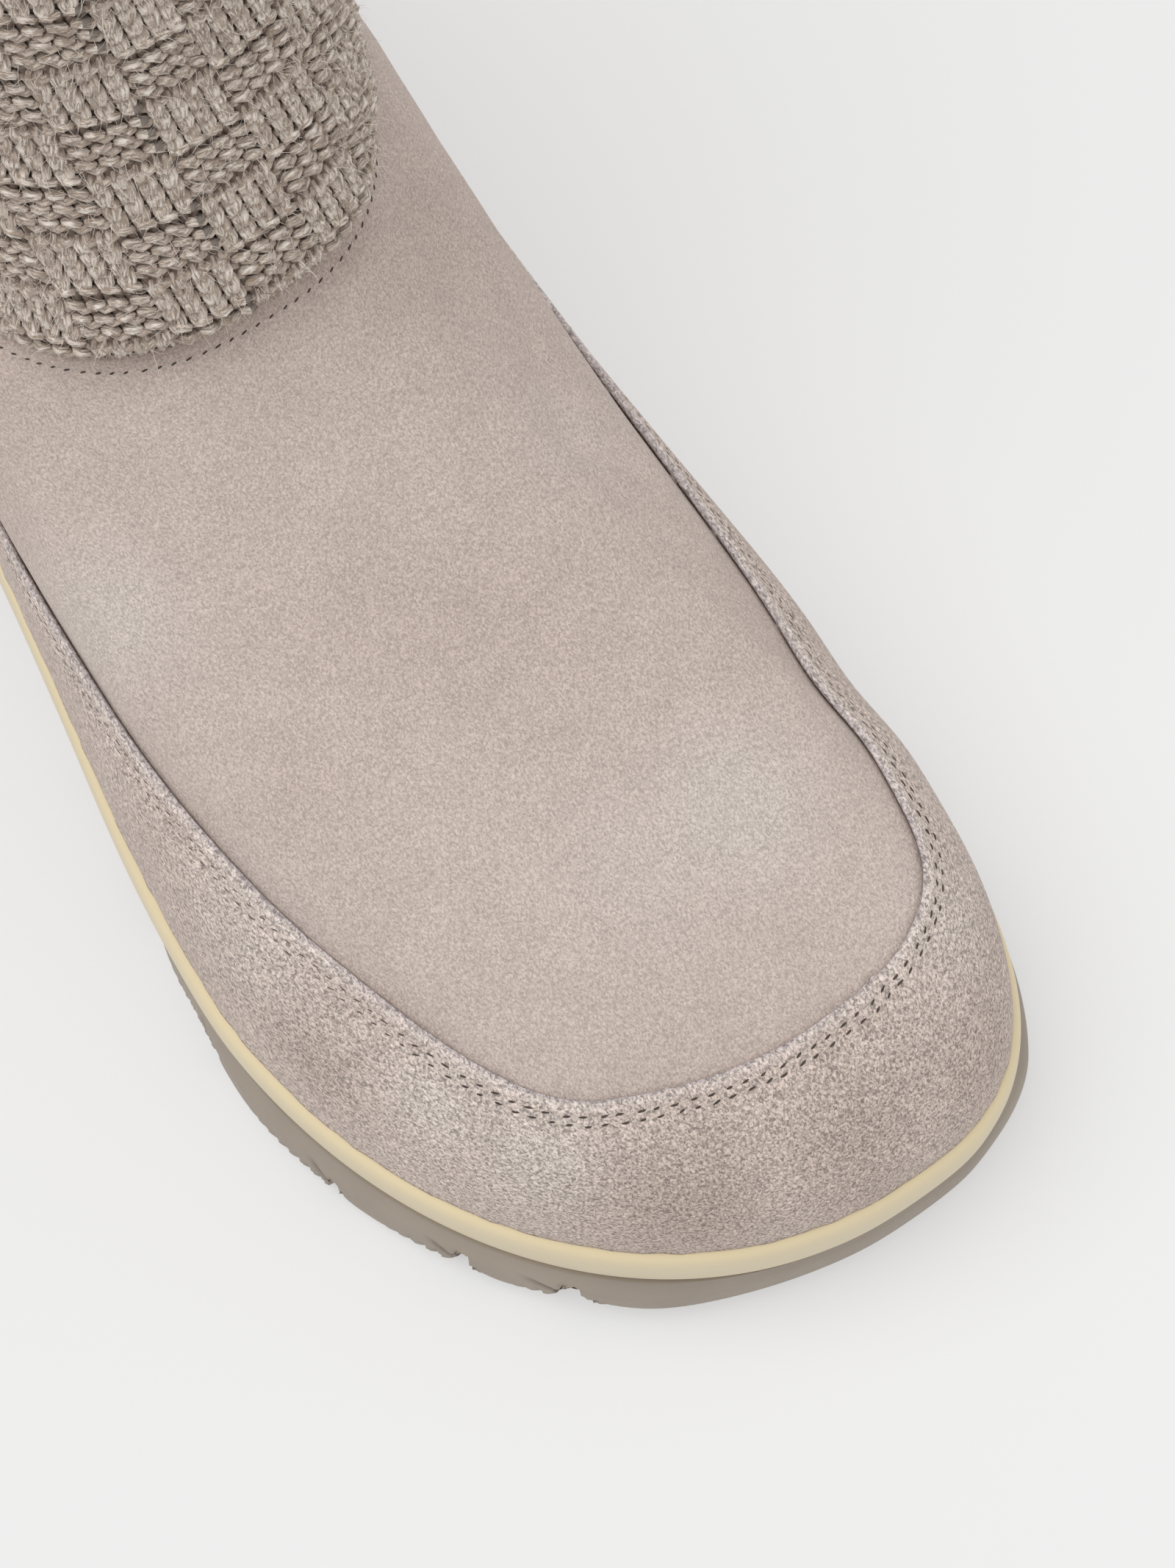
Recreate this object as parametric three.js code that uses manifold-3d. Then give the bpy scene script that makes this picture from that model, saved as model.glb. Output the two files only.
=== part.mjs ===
// A right ankle boot with a suede upper, a suede rand, a knitted shaft and a two-layer sole.
// Millimetres, +Z up, toe towards -Y, inner (medial) side towards +X.
// "Along" is the distance back from the toe tip, "round" the share of the way
// round one side of the sole's outline, from 0 at the toe to 1 at the heel.
import * as THREE from 'three';
import { mergeVertices } from 'three/addons/utils/BufferGeometryUtils.js';
import Module from 'manifold-3d';

const wasm = await Module();
wasm.setup();

// Plan of the sole
const SOLE_LENGTH = 268;
const TOE_TIP_SIDE = 15;
const BALL_LATERAL = 51;
const BALL_MEDIAL = 53.5;
const BALL_LATERAL_ALONG = 81;
const BALL_MEDIAL_ALONG = 61;
const TOE_CURVE_LATERAL = 2.0;
const TOE_CURVE_MEDIAL = 2.8;
const HEEL_HALF_WIDTH = 39.5;
const HEEL_SIDE = 2;
const HEEL_ROUND_LENGTH = 42;
const HEEL_CURVE = 2.3;

// Heights of the sole layers
const TOE_SPRING = 6;
const SPRING_LENGTH = 62;
const SPRING_CURVE = 1.7;
const ARCH_RISE = 3;
const ARCH_FROM = 124;
const ARCH_TO = 188;
const HEEL_BEVEL_RISE = 2.5;
const HEEL_BEVEL_LENGTH = 16;
const OUTSOLE_TOE_THICK = 8;
const OUTSOLE_THICK = 10;
const OUTSOLE_HEEL_THICK = 17;
const MIDSOLE_TOE_THICK = 12;
const MIDSOLE_THICK = 9.5;
const MIDSOLE_HEEL_THICK = 16;

// Side of the sole
const FOREFOOT_LEDGE = 1.4;
const WAIST_LEDGE = 0.5;
const TOE_FLARE = 0.1;
const TOE_FLARE_LENGTH = 12;
const FOREFOOT_FLARE = 2.2;
const FLARE_END_ALONG = 86;
const FLARE_FADE = 26;
const WAIST_TUCK = 3;
const HEEL_FLARE = 1;
const HEEL_FLARE_ALONG = 196;

// Lugs
const GROOVE_WIDTH = 2.6;
const GROOVE_DEPTH = 4.5;
const GROOVE_SLANT = 0.35;
const CENTRE_GROOVE_WIDTH = 5;

// Upper, rand and insole
const UPPER_WALL = 1.8;
const RAND_WALL = 1.4;
const INSOLE_THICK = 4;
const GAP = 0.3;
const INSOLE_GAP = 0.6;
const APRON_HEIGHT = 50;
const APRON_HEEL_RISE = 8;
const WALL_ROLL = 65 * Math.PI / 180;
const ANKLE_SWELL = 2.4;

// Topline, where the suede ends and the knit begins
const THROAT_ALONG = 137;
const THROAT_LENGTH = 111;
const THROAT_WIDTH = 71;
const THROAT_SIDE = -1.3;
const THROAT_CURVE = 2.5;
const INSTEP_HEIGHT = 90;
const TOPLINE_SIDE_HEIGHT = 81;
const TOPLINE_BACK_HEIGHT = 88;

// Knitted shaft
const BOOT_HEIGHT = 195;
const SHAFT_WALL = 4;
const SHAFT_TUCK = 0.16;
const SHAFT_BULGE = 1.2;
const SHAFT_FOLD_HEIGHT = 9.5;
const SHAFT_TOP_ALONG = 166;
const SHAFT_TOP_LENGTH = 92;
const SHAFT_TOP_WIDTH = 80;
const SHAFT_TOP_SIDE = 3.5;
const SHAFT_LEAN = 1.5;

// Fineness
const SECTIONS = 34;
const COLUMNS = 2 * SECTIONS;
const WALL_STEPS = 5;

// Half-widths of the sole between ball and heel, as shares of the ball's half-widths
const WAIST_ROWS = [
  { along: 0.30, lateral: 1.000, medial: 0.980 },
  { along: 0.38, lateral: 0.965, medial: 0.925 },
  { along: 0.46, lateral: 0.900, medial: 0.855 },
  { along: 0.54, lateral: 0.835, medial: 0.815 },
  { along: 0.62, lateral: 0.785, medial: 0.800 },
  { along: 0.72, lateral: 0.745, medial: 0.785 },
  { along: 0.84, lateral: 0.735, medial: 0.776 },
];

// How far the rand's top edge lies inside the sole's outline, as shares of the apron's height
const APRON_ROWS = [
  { round: 0.00, lateral: 0.443, medial: 0.443 },
  { round: 0.04, lateral: 0.426, medial: 0.450 },
  { round: 0.08, lateral: 0.395, medial: 0.442 },
  { round: 0.12, lateral: 0.346, medial: 0.378 },
  { round: 0.15, lateral: 0.300, medial: 0.284 },
  { round: 0.18, lateral: 0.285, medial: 0.236 },
  { round: 0.22, lateral: 0.295, medial: 0.224 },
  { round: 0.27, lateral: 0.300, medial: 0.220 },
  { round: 0.33, lateral: 0.266, medial: 0.199 },
  { round: 0.40, lateral: 0.181, medial: 0.150 },
  { round: 0.47, lateral: 0.102, medial: 0.088 },
  { round: 0.55, lateral: 0.045, medial: 0.058 },
  { round: 0.65, lateral: 0.046, medial: 0.058 },
  { round: 0.80, lateral: 0.065, medial: 0.080 },
  { round: 1.00, lateral: 0.150, medial: 0.150 },
];

// Rise of the vamp from the rand's edge to the topline, as shares of that rise,
// along the ridge, over the ball and at the waist
const VAMP_ROWS = [
  { way: 0.00, ridge: 0.00, ball: 0.00, waist: 0.00 },
  { way: 0.12, ridge: 0.10, ball: 0.13, waist: 0.16 },
  { way: 0.30, ridge: 0.19, ball: 0.25, waist: 0.35 },
  { way: 0.50, ridge: 0.31, ball: 0.40, waist: 0.55 },
  { way: 0.72, ridge: 0.51, ball: 0.62, waist: 0.77 },
  { way: 0.88, ridge: 0.75, ball: 0.82, waist: 0.91 },
  { way: 1.00, ridge: 1.00, ball: 1.00, waist: 1.00 },
];
const VAMP_STEPS = [0.07, 0.16, 0.28, 0.42, 0.57, 0.72, 0.84, 0.92, 1];

// Cream midsole's side, from its foot to its rounded top edge, inset in shares of the ledge
const MIDSOLE_SIDE = [
  { height: 0.00, inset: 0.5 },
  { height: 0.25, inset: 0.0 },
  { height: 0.70, inset: 0.0 },
  { height: 0.93, inset: 0.4 },
  { height: 1.00, inset: 1.0 },
];

// Outsole's side, from the lugs' foot to the smooth strip under the midsole
const OUTSOLE_SIDE = [
  { height: 0.00, flare: 0.55 },
  { height: 0.22, flare: 1.00 },
  { height: 0.62, flare: 0.85 },
  { height: 1.00, flare: 0.25 },
];

// Grooves between the lugs: where each pair leaves the middle line, in shares of the sole's length
const FOREFOOT_GROOVES = [
  { start: 0.026 },
  { start: 0.060 },
  { start: 0.120 },
  { start: 0.213 },
  { start: 0.306 },
  { start: 0.392 },
];
const HEEL_GROOVES = [
  { start: 0.731 },
  { start: 0.799 },
  { start: 0.866 },
];

// Knit above the topline: rise in shares of the fold's height, and how far it stands out
// of the suede
const KNIT_FOLD = [
  { rise: 0.06, out: -UPPER_WALL - GAP },
  { rise: 0.23, out: -0.17 * SHAFT_BULGE },
  { rise: 0.53, out: 0.75 * SHAFT_BULGE },
  { rise: 1.00, out: SHAFT_BULGE },
];
const SHAFT_STEPS = [0.22, 0.38, 0.54, 0.70, 0.86, 1];

// A smooth curve through the rows of a table
function readTable(rows, key, column, at) {
  const last = rows.length - 1;
  if (at <= rows[0][key]) return rows[0][column];
  if (at >= rows[last][key]) return rows[last][column];
  let i = 0;
  while (rows[i + 1][key] < at) i += 1;
  const slope = (j) => {
    const before = rows[Math.max(j - 1, 0)];
    const after = rows[Math.min(j + 1, last)];
    return (after[column] - before[column]) / (after[key] - before[key]);
  };
  const span = rows[i + 1][key] - rows[i][key];
  const t = (at - rows[i][key]) / span;
  const square = t * t;
  const cube = square * t;
  return (2 * cube - 3 * square + 1) * rows[i][column]
    + (cube - 2 * square + t) * span * slope(i)
    + (3 * square - 2 * cube) * rows[i + 1][column]
    + (cube - square) * span * slope(i + 1);
}

const clamp01 = (value) => Math.min(Math.max(value, 0), 1);
const smooth = (value) => clamp01(value) ** 2 * (3 - 2 * clamp01(value));
const mix = (a, b, share) => a + (b - a) * share;

// One quarter of a rounded end: 0 at the end itself, 1 where the straight side starts
const roundEnd = (share, curve) => (1 - (1 - clamp01(share)) ** curve) ** (1 / curve);

// Signed distance of the outline from the boot's long axis
function outlineSide(along, medial) {
  const column = medial ? 'medial' : 'lateral';
  const sign = medial ? 1 : -1;
  const half = medial ? BALL_MEDIAL : BALL_LATERAL;
  const ballAlong = medial ? BALL_MEDIAL_ALONG : BALL_LATERAL_ALONG;
  const curve = medial ? TOE_CURVE_MEDIAL : TOE_CURVE_LATERAL;
  if (along < ballAlong) {
    return TOE_TIP_SIDE + (sign * half - TOE_TIP_SIDE) * roundEnd(along / ballAlong, curve);
  }
  const heelStart = SOLE_LENGTH - HEEL_ROUND_LENGTH;
  if (along < heelStart) {
    return sign * half * readTable(WAIST_ROWS, 'along', column, along / SOLE_LENGTH);
  }
  const start = sign * half * WAIST_ROWS[WAIST_ROWS.length - 1][column];
  const side = HEEL_SIDE + sign * HEEL_HALF_WIDTH;
  const flank = mix(start, side, smooth((along - heelStart) / HEEL_ROUND_LENGTH));
  return HEEL_SIDE + (flank - HEEL_SIDE) * roundEnd((SOLE_LENGTH - along) / HEEL_ROUND_LENGTH, HEEL_CURVE);
}

// Columns run from the toe down the lateral side to the heel and back up the medial side
const isMedial = (k) => k > SECTIONS;
const sectionOf = (k) => (isMedial(k) ? COLUMNS - k : k);
const alongOf = (k) => SOLE_LENGTH * (1 - Math.cos(Math.PI * sectionOf(k) / SECTIONS)) / 2;

const outline = [];
for (let k = 0; k < COLUMNS; k += 1) {
  outline.push(new THREE.Vector2(outlineSide(alongOf(k), isMedial(k)), alongOf(k)));
}

const wrap = (k) => (k + COLUMNS) % COLUMNS;

// Outward direction of the outline at each column, eased between its neighbours so that
// deep insets at the toe keep their columns apart
const squareOn = outline.map((point, k) => {
  const run = outline[wrap(k + 1)].clone().sub(outline[wrap(k - 1)]).normalize();
  return new THREE.Vector2(-run.y, run.x);
});
const outward = squareOn.map((direction, k) => {
  const eased = direction.clone().add(direction);
  return eased.add(squareOn[wrap(k - 1)]).add(squareOn[wrap(k + 1)]).normalize();
});

// Share of the way round each side, by length
const round = new Array(COLUMNS).fill(0);
for (const medial of [false, true]) {
  const column = (section) => (medial ? wrap(COLUMNS - section) : section);
  let length = 0;
  const reached = [0];
  for (let section = 1; section <= SECTIONS; section += 1) {
    length += outline[column(section)].distanceTo(outline[column(section - 1)]);
    reached.push(length);
  }
  for (let section = 0; section <= SECTIONS; section += 1) {
    round[column(section)] = reached[section] / length;
  }
}

const insetPlan = (k, inset) => outline[k].clone().addScaledVector(outward[k], -inset);

const toeSpring = (along) => TOE_SPRING * clamp01(1 - along / SPRING_LENGTH) ** SPRING_CURVE;

// Underside of the outsole: toe spring, flat forefoot, arch, flat heel and heel bevel
function undersideHeight(along) {
  const archWay = clamp01((along - ARCH_FROM) / (ARCH_TO - ARCH_FROM));
  const arch = ARCH_RISE * Math.sin(Math.PI * archWay) ** 2;
  const bevelWay = clamp01((along - SOLE_LENGTH + HEEL_BEVEL_LENGTH) / HEEL_BEVEL_LENGTH);
  return toeSpring(along) + arch + HEEL_BEVEL_RISE * bevelWay ** 2;
}

// The two layers grow thicker from the ball to the heel
const heelShare = (along) => smooth((along - BALL_LATERAL_ALONG) / (0.8 * SOLE_LENGTH - BALL_LATERAL_ALONG));

const toeShare = (along) => 1 - smooth(along / SPRING_LENGTH);

function layerThickness(along, toe, ball, heel) {
  return ball + (toe - ball) * toeShare(along) + (heel - ball) * heelShare(along);
}

function outsoleTop(along) {
  return toeSpring(along)
    + layerThickness(along, OUTSOLE_TOE_THICK, OUTSOLE_THICK, OUTSOLE_HEEL_THICK);
}

const midsoleFoot = (along) => outsoleTop(along) + GAP;
const midsoleTop = (along) => midsoleFoot(along)
  + layerThickness(along, MIDSOLE_TOE_THICK, MIDSOLE_THICK, MIDSOLE_HEEL_THICK);
const featherHeight = (along) => midsoleTop(along) + GAP;

// How far the outsole stands out of the midsole, less than nothing at the waist
function outsoleFlare(along) {
  const front = mix(TOE_FLARE, FOREFOOT_FLARE, smooth(along / TOE_FLARE_LENGTH));
  const fade = smooth((FLARE_END_ALONG - along) / FLARE_FADE);
  const tuck = smooth((along - FLARE_END_ALONG) / FLARE_FADE);
  const heel = smooth((along - HEEL_FLARE_ALONG + FLARE_FADE) / FLARE_FADE);
  return front * fade - WAIST_TUCK * tuck * (1 - heel) + HEEL_FLARE * heel;
}

// Width of the midsole's top that shows outside the suede
const ledgeOf = (along) => mix(
  FOREFOOT_LEDGE,
  WAIST_LEDGE,
  smooth((along - BALL_LATERAL_ALONG) / BALL_LATERAL_ALONG),
);

// Topline: a closed oval round the ankle
const throatCentre = new THREE.Vector2(THROAT_SIDE, THROAT_ALONG + THROAT_LENGTH / 2);
const rimCentre = new THREE.Vector2(SHAFT_TOP_SIDE, SHAFT_TOP_ALONG + SHAFT_TOP_LENGTH / 2);
const power = (value, exponent) => Math.sign(value) * Math.abs(value) ** exponent;

// Each column turns round the oval with the share of its way round the sole
function turnOf(k) {
  const half = Math.PI * round[k] * (0.37 + 0.63 * round[k]);
  return isMedial(k) ? half : -half;
}

function oval(turn, centre, length, width, curve) {
  return new THREE.Vector2(
    centre.x + power(Math.sin(turn), 2 / curve) * width / 2,
    centre.y - power(Math.cos(turn), 2 / curve) * length / 2,
  );
}

const throatPlan = (k) => oval(turnOf(k), throatCentre, THROAT_LENGTH, THROAT_WIDTH, THROAT_CURVE);

function toplineHeight(k) {
  const lift = Math.cos(turnOf(k));
  const end = lift > 0 ? INSTEP_HEIGHT : TOPLINE_BACK_HEIGHT;
  return mix(TOPLINE_SIDE_HEIGHT, end, lift * lift);
}

// Rand's top edge
const apronInset = (k) => APRON_HEIGHT
  * readTable(APRON_ROWS, 'round', isMedial(k) ? 'medial' : 'lateral', round[k]);
const apronHeight = (k) => APRON_HEIGHT + APRON_HEEL_RISE * smooth((round[k] - 0.5) / 0.5);
const skinInset = (k) => ledgeOf(alongOf(k)) + RAND_WALL + GAP;

// Wall of the upper below the rand's edge: way is 0 at the sole and 1 at the edge
function wallPoint(k, way) {
  const inShare = (1 - Math.cos(WALL_ROLL * way)) / (1 - Math.cos(WALL_ROLL));
  const upShare = Math.sin(WALL_ROLL * way) / Math.sin(WALL_ROLL);
  const foot = skinInset(k);
  const plan = insetPlan(k, mix(foot, Math.max(apronInset(k), foot), inShare));
  const height = mix(featherHeight(alongOf(k)), apronHeight(k), upShare);
  return new THREE.Vector3(plan.x, plan.y, height);
}

// Vamp and quarters above the rand's edge: way is 0 at the edge and 1 at the topline
function vampPoint(k, way) {
  const start = wallPoint(k, 1);
  const end = throatPlan(k);
  const toBall = smooth(round[k] / 0.33);
  const toWaist = smooth((round[k] - 0.33) / 0.2);
  const ridge = readTable(VAMP_ROWS, 'way', 'ridge', way);
  const ball = readTable(VAMP_ROWS, 'way', 'ball', way);
  const waist = readTable(VAMP_ROWS, 'way', 'waist', way);
  const rise = mix(mix(ridge, ball, toBall), waist, toWaist);
  const atAnkle = toWaist * smooth((1 - round[k]) / 0.25);
  const swell = ANKLE_SWELL * atAnkle * 4 * way * (1 - way);
  return new THREE.Vector3(
    mix(start.x, end.x, way) + outward[k].x * swell,
    mix(start.y, end.y, way) + outward[k].y * swell,
    mix(start.z, toplineHeight(k), rise),
  );
}

const ring = (pointAt) => Array.from({ length: COLUMNS }, (unused, k) => pointAt(k));

// Rings of the last's skin, from the sole to the topline
const wallRings = [];
for (let step = 0; step <= WALL_STEPS; step += 1) {
  wallRings.push(ring((k) => wallPoint(k, step / WALL_STEPS)));
}
const vampRings = VAMP_STEPS.map((way) => ring((k) => vampPoint(k, way)));
const skinRings = [...wallRings, ...vampRings];

// Outward normals of a stack of rings
function normalsOf(rings) {
  return rings.map((points, j) => points.map((point, k) => {
    const above = rings[Math.min(j + 1, rings.length - 1)][k];
    const below = rings[Math.max(j - 1, 0)][k];
    const up = above.clone().sub(below);
    const along = points[wrap(k + 1)].clone().sub(points[wrap(k - 1)]);
    return up.cross(along).normalize();
  }));
}

function offsetRings(rings, distance) {
  const normals = normalsOf(rings);
  return rings.map((points, j) => points.map(
    (point, k) => point.clone().addScaledVector(normals[j][k], distance),
  ));
}

// An offset keeps the height of a cut edge, so that the edge stays level with its neighbour
function levelEdge(rings, j, source) {
  rings[j].forEach((point, k) => { point.z = source[j][k].z; });
}

// Collects the rings of a solid, and the faces between and across them
class Mesher {
  constructor() {
    this.positions = [];
    this.faces = [];
  }

  addRing(points) {
    const first = this.positions.length / 3;
    points.forEach((point) => this.positions.push(point.x, point.y, point.z));
    return first;
  }

  // Band between two rings of the same number of points
  band(lower, upper) {
    for (let k = 0; k < COLUMNS; k += 1) {
      const next = wrap(k + 1);
      this.faces.push(lower + k, upper + k, upper + next);
      this.faces.push(lower + k, upper + next, lower + next);
    }
  }

  // Rungs across a ring, from its lateral to its medial side
  rungs(first, facingUp) {
    const add = (a, b, c) => {
      if (facingUp) this.faces.push(first + a, first + c, first + b);
      else this.faces.push(first + a, first + b, first + c);
    };
    add(0, 1, COLUMNS - 1);
    for (let k = 1; k < SECTIONS - 1; k += 1) {
      add(k, k + 1, COLUMNS - k);
      add(k + 1, COLUMNS - k - 1, COLUMNS - k);
    }
    add(SECTIONS - 1, SECTIONS, SECTIONS + 1);
  }

  geometry() {
    const geometry = new THREE.BufferGeometry();
    geometry.setAttribute('position', new THREE.Float32BufferAttribute(this.positions, 3));
    geometry.setIndex(this.faces);
    return mergeVertices(geometry, 1e-4);
  }
}

// A hollow piece, open at both ends, between its outer and its inner rings
function shellGeometry(outerRings, innerRings) {
  const mesher = new Mesher();
  const loops = [...outerRings, ...[...innerRings].reverse()].map((points) => mesher.addRing(points));
  loops.forEach((first, j) => mesher.band(first, loops[(j + 1) % loops.length]));
  return mesher.geometry();
}

// A slab with rings up its side and rungs across its foot and its top
function slabGeometry(sideRings) {
  const mesher = new Mesher();
  const loops = sideRings.map((points) => mesher.addRing(points));
  for (let j = 0; j + 1 < loops.length; j += 1) mesher.band(loops[j], loops[j + 1]);
  mesher.rungs(loops[0], false);
  mesher.rungs(loops[loops.length - 1], true);
  return mesher.geometry();
}

function toSolid(geometry) {
  return new wasm.Manifold(new wasm.Mesh({
    numProp: 3,
    vertProperties: new Float32Array(geometry.getAttribute('position').array),
    triVerts: new Uint32Array(geometry.getIndex().array),
  }));
}

function fromSolid(solid) {
  const mesh = solid.getMesh();
  const geometry = new THREE.BufferGeometry();
  geometry.setAttribute('position', new THREE.Float32BufferAttribute(mesh.vertProperties, 3));
  geometry.setIndex(new THREE.Uint32BufferAttribute(mesh.triVerts, 1));
  return geometry;
}

function boxSolid(size, place, turn = 0) {
  const geometry = new THREE.BoxGeometry(size.x, size.y, size.z);
  geometry.rotateZ(turn);
  geometry.translate(place.x, place.y, place.z);
  geometry.deleteAttribute('normal');
  geometry.deleteAttribute('uv');
  return toSolid(mergeVertices(geometry));
}

// One slanted groove from the middle line out through one side
function grooveSolid(along, medial) {
  const length = BALL_LATERAL + BALL_MEDIAL;
  const reach = undersideHeight(along) + GROOVE_DEPTH;
  const sign = medial ? 1 : -1;
  const turn = sign * GROOVE_SLANT;
  const middle = sign * length / 2;
  return boxSolid(
    new THREE.Vector3(length, GROOVE_WIDTH, 2 * reach),
    new THREE.Vector3(Math.cos(turn) * middle, along + Math.sin(turn) * middle, 0),
    turn,
  );
}

function buildOutsole() {
  const rings = OUTSOLE_SIDE.map((row) => ring((k) => {
    const along = alongOf(k);
    const flare = outsoleFlare(along);
    const plan = insetPlan(k, -(flare > 0 ? flare * row.flare : flare));
    return new THREE.Vector3(plan.x, plan.y, mix(undersideHeight(along), outsoleTop(along), row.height));
  }));
  let solid = toSolid(slabGeometry(rings));
  for (const set of [FOREFOOT_GROOVES, HEEL_GROOVES]) {
    for (const groove of set) {
      solid = solid.subtract(grooveSolid(groove.start * SOLE_LENGTH, false));
      solid = solid.subtract(grooveSolid(groove.start * SOLE_LENGTH, true));
    }
    const first = set[0].start * SOLE_LENGTH;
    const last = set[set.length - 1].start * SOLE_LENGTH;
    solid = solid.subtract(boxSolid(
      new THREE.Vector3(CENTRE_GROOVE_WIDTH, last - first, 2 * GROOVE_DEPTH),
      new THREE.Vector3(0, (first + last) / 2, 0),
    ));
  }
  return fromSolid(solid);
}

function buildMidsole() {
  const rings = MIDSOLE_SIDE.map((row) => ring((k) => {
    const along = alongOf(k);
    const plan = insetPlan(k, row.inset * ledgeOf(along));
    return new THREE.Vector3(plan.x, plan.y, mix(midsoleFoot(along), midsoleTop(along), row.height));
  }));
  return slabGeometry(rings);
}

function buildUpper() {
  const inner = offsetRings(skinRings, -UPPER_WALL);
  levelEdge(inner, 0, skinRings);
  levelEdge(inner, inner.length - 1, skinRings);
  return shellGeometry(skinRings, inner);
}

function buildRand() {
  const outer = offsetRings(skinRings, GAP + RAND_WALL).slice(0, WALL_STEPS + 1);
  const inner = offsetRings(skinRings, GAP).slice(0, WALL_STEPS + 1);
  levelEdge(outer, 0, skinRings);
  levelEdge(inner, 0, skinRings);
  return shellGeometry(outer, inner);
}

function buildInsole() {
  const inside = offsetRings(skinRings, -UPPER_WALL - INSOLE_GAP);
  const rings = [0, 1].map((j) => ring((k) => {
    const point = inside[j][k].clone();
    point.z = featherHeight(alongOf(k)) + j * INSOLE_THICK;
    return point;
  }));
  return slabGeometry(rings);
}

// Shaft's outer ring at a rise above the topline: the fold over the suede, then the lean to the rim
function foldRing(row) {
  return ring((k) => {
    const plan = throatPlan(k);
    const away = plan.clone().sub(throatCentre).normalize();
    plan.addScaledVector(away, row.out);
    return new THREE.Vector3(plan.x, plan.y, toplineHeight(k) + row.rise * SHAFT_FOLD_HEIGHT);
  });
}

function leanRing(share) {
  const start = foldRing(KNIT_FOLD[KNIT_FOLD.length - 1]);
  const eased = 1 - (1 - share) ** SHAFT_LEAN;
  return ring((k) => {
    const rim = oval(turnOf(k), rimCentre, SHAFT_TOP_LENGTH, SHAFT_TOP_WIDTH, 2);
    return new THREE.Vector3(
      mix(start[k].x, rim.x, eased),
      mix(start[k].y, rim.y, eased),
      mix(start[k].z, BOOT_HEIGHT, share),
    );
  });
}

function buildShaft() {
  const tucked = offsetRings(skinRings, -UPPER_WALL - GAP);
  const tuckWays = skinRings.length - 1;
  levelEdge(tucked, tuckWays, skinRings);
  const outer = [
    ...tucked.slice(-Math.max(2, Math.round(SHAFT_TUCK * VAMP_STEPS.length) + 1)),
    ...KNIT_FOLD.map(foldRing),
    ...SHAFT_STEPS.map(leanRing),
  ];
  const inner = offsetRings(outer, -SHAFT_WALL);
  levelEdge(inner, inner.length - 1, outer);
  return shellGeometry(outer, inner);
}

const FINISHES = {
  outsole: { color: 0x948880, roughness: 0.75 },
  midsole: { color: 0xcabba2, roughness: 0.6 },
  insole: { color: 0xa89c92, roughness: 0.95 },
  upper: { color: 0xbcada4, roughness: 0.95 },
  rand: { color: 0xb2a299, roughness: 0.95 },
  shaft: { color: 0x9a8e84, roughness: 1 },
};

const BUILDERS = {
  outsole: buildOutsole,
  midsole: buildMidsole,
  insole: buildInsole,
  upper: buildUpper,
  rand: buildRand,
  shaft: buildShaft,
};

const boot = new THREE.Group();
for (const [name, build] of Object.entries(BUILDERS)) {
  const material = new THREE.MeshStandardMaterial({ ...FINISHES[name], metalness: 0 });
  const mesh = new THREE.Mesh(build(), material);
  mesh.name = name;
  boot.add(mesh);
}

// The origin lies on the ground, under the middle of the boot
const extent = new THREE.Box3().setFromObject(boot);
const centre = extent.getCenter(new THREE.Vector3());
boot.position.set(-centre.x, -centre.y, -extent.min.z);

export default boot;
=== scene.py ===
"""A right ankle boot: suede upper and rand, basket-knit shaft, cream midsole, rubber outsole.

The CAD model gives every surface. Each hollow piece there is a stack of rings of 68 points,
and the fine surfaces here are smooth curves through those rings. Sizes are in millimetres.
"""
import math

import bpy
import numpy as np
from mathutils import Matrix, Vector


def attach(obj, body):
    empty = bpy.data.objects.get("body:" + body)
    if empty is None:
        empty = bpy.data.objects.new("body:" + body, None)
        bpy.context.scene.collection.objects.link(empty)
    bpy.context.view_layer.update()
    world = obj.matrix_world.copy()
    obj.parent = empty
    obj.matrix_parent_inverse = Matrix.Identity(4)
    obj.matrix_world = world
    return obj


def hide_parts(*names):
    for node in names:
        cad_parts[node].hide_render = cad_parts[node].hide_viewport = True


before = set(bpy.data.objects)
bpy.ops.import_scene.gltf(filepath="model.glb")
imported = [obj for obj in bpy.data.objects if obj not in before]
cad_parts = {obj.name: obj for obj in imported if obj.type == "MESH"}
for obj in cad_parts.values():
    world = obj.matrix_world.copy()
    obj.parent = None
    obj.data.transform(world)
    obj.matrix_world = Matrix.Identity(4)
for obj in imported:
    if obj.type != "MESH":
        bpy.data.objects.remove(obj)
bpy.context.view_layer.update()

MM = 0.001

# Camera
CAMERA_AZIMUTH = math.radians(-33)
CAMERA_ELEVATION = math.radians(72)
CAMERA_DISTANCE = 760
CAMERA_LENS = 123.14
LOOK_AT = (9.02, -60.95, 30)

# Light and floor
SKY = 0.55
FLOOR_GLOW = 0.44
FLOOR_HALF_METRES = 30
SUNS = (
    {"name": "key", "direction": (-0.38, 0.22, 1.0), "spread": 45, "power": 1.2},
    {"name": "fill", "direction": (0.5, -0.5, 1.0), "spread": 90, "power": 0.45},
)

# Rings of the CAD model
COLUMNS = 68
FINE = 6
TOE_COLUMN = 0

# Rows of fine points up each piece
UPPER_ROWS = 84
UPPER_INNER_ROWS = 14
RAND_ROWS = 44
RAND_INNER_ROWS = 6
KNIT_LEVELS = 200
BACKING_ROWS = 50
BACKING_INNER_ROWS = 30
MIDSOLE_ROWS = 26
EDGE_ROWS = 6

# Cut edges of the suede, rounded, with the rand's rolled under and cut a little unevenly
EDGE_BULGE = 0.45
EDGE_ROUND = 1.6
UNDERCUT = 0.35
RAW_WIDTH = 0.9
RAND_EDGE_ROW = 5
FOOT_WAVE = {"depth": 0.12, "length": 17, "seed": 3}
FOOT_WAVE_REACH = 1.2
EDGE_WAVE = {"depth": 0.16, "length": 9, "seed": 4}

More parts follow.
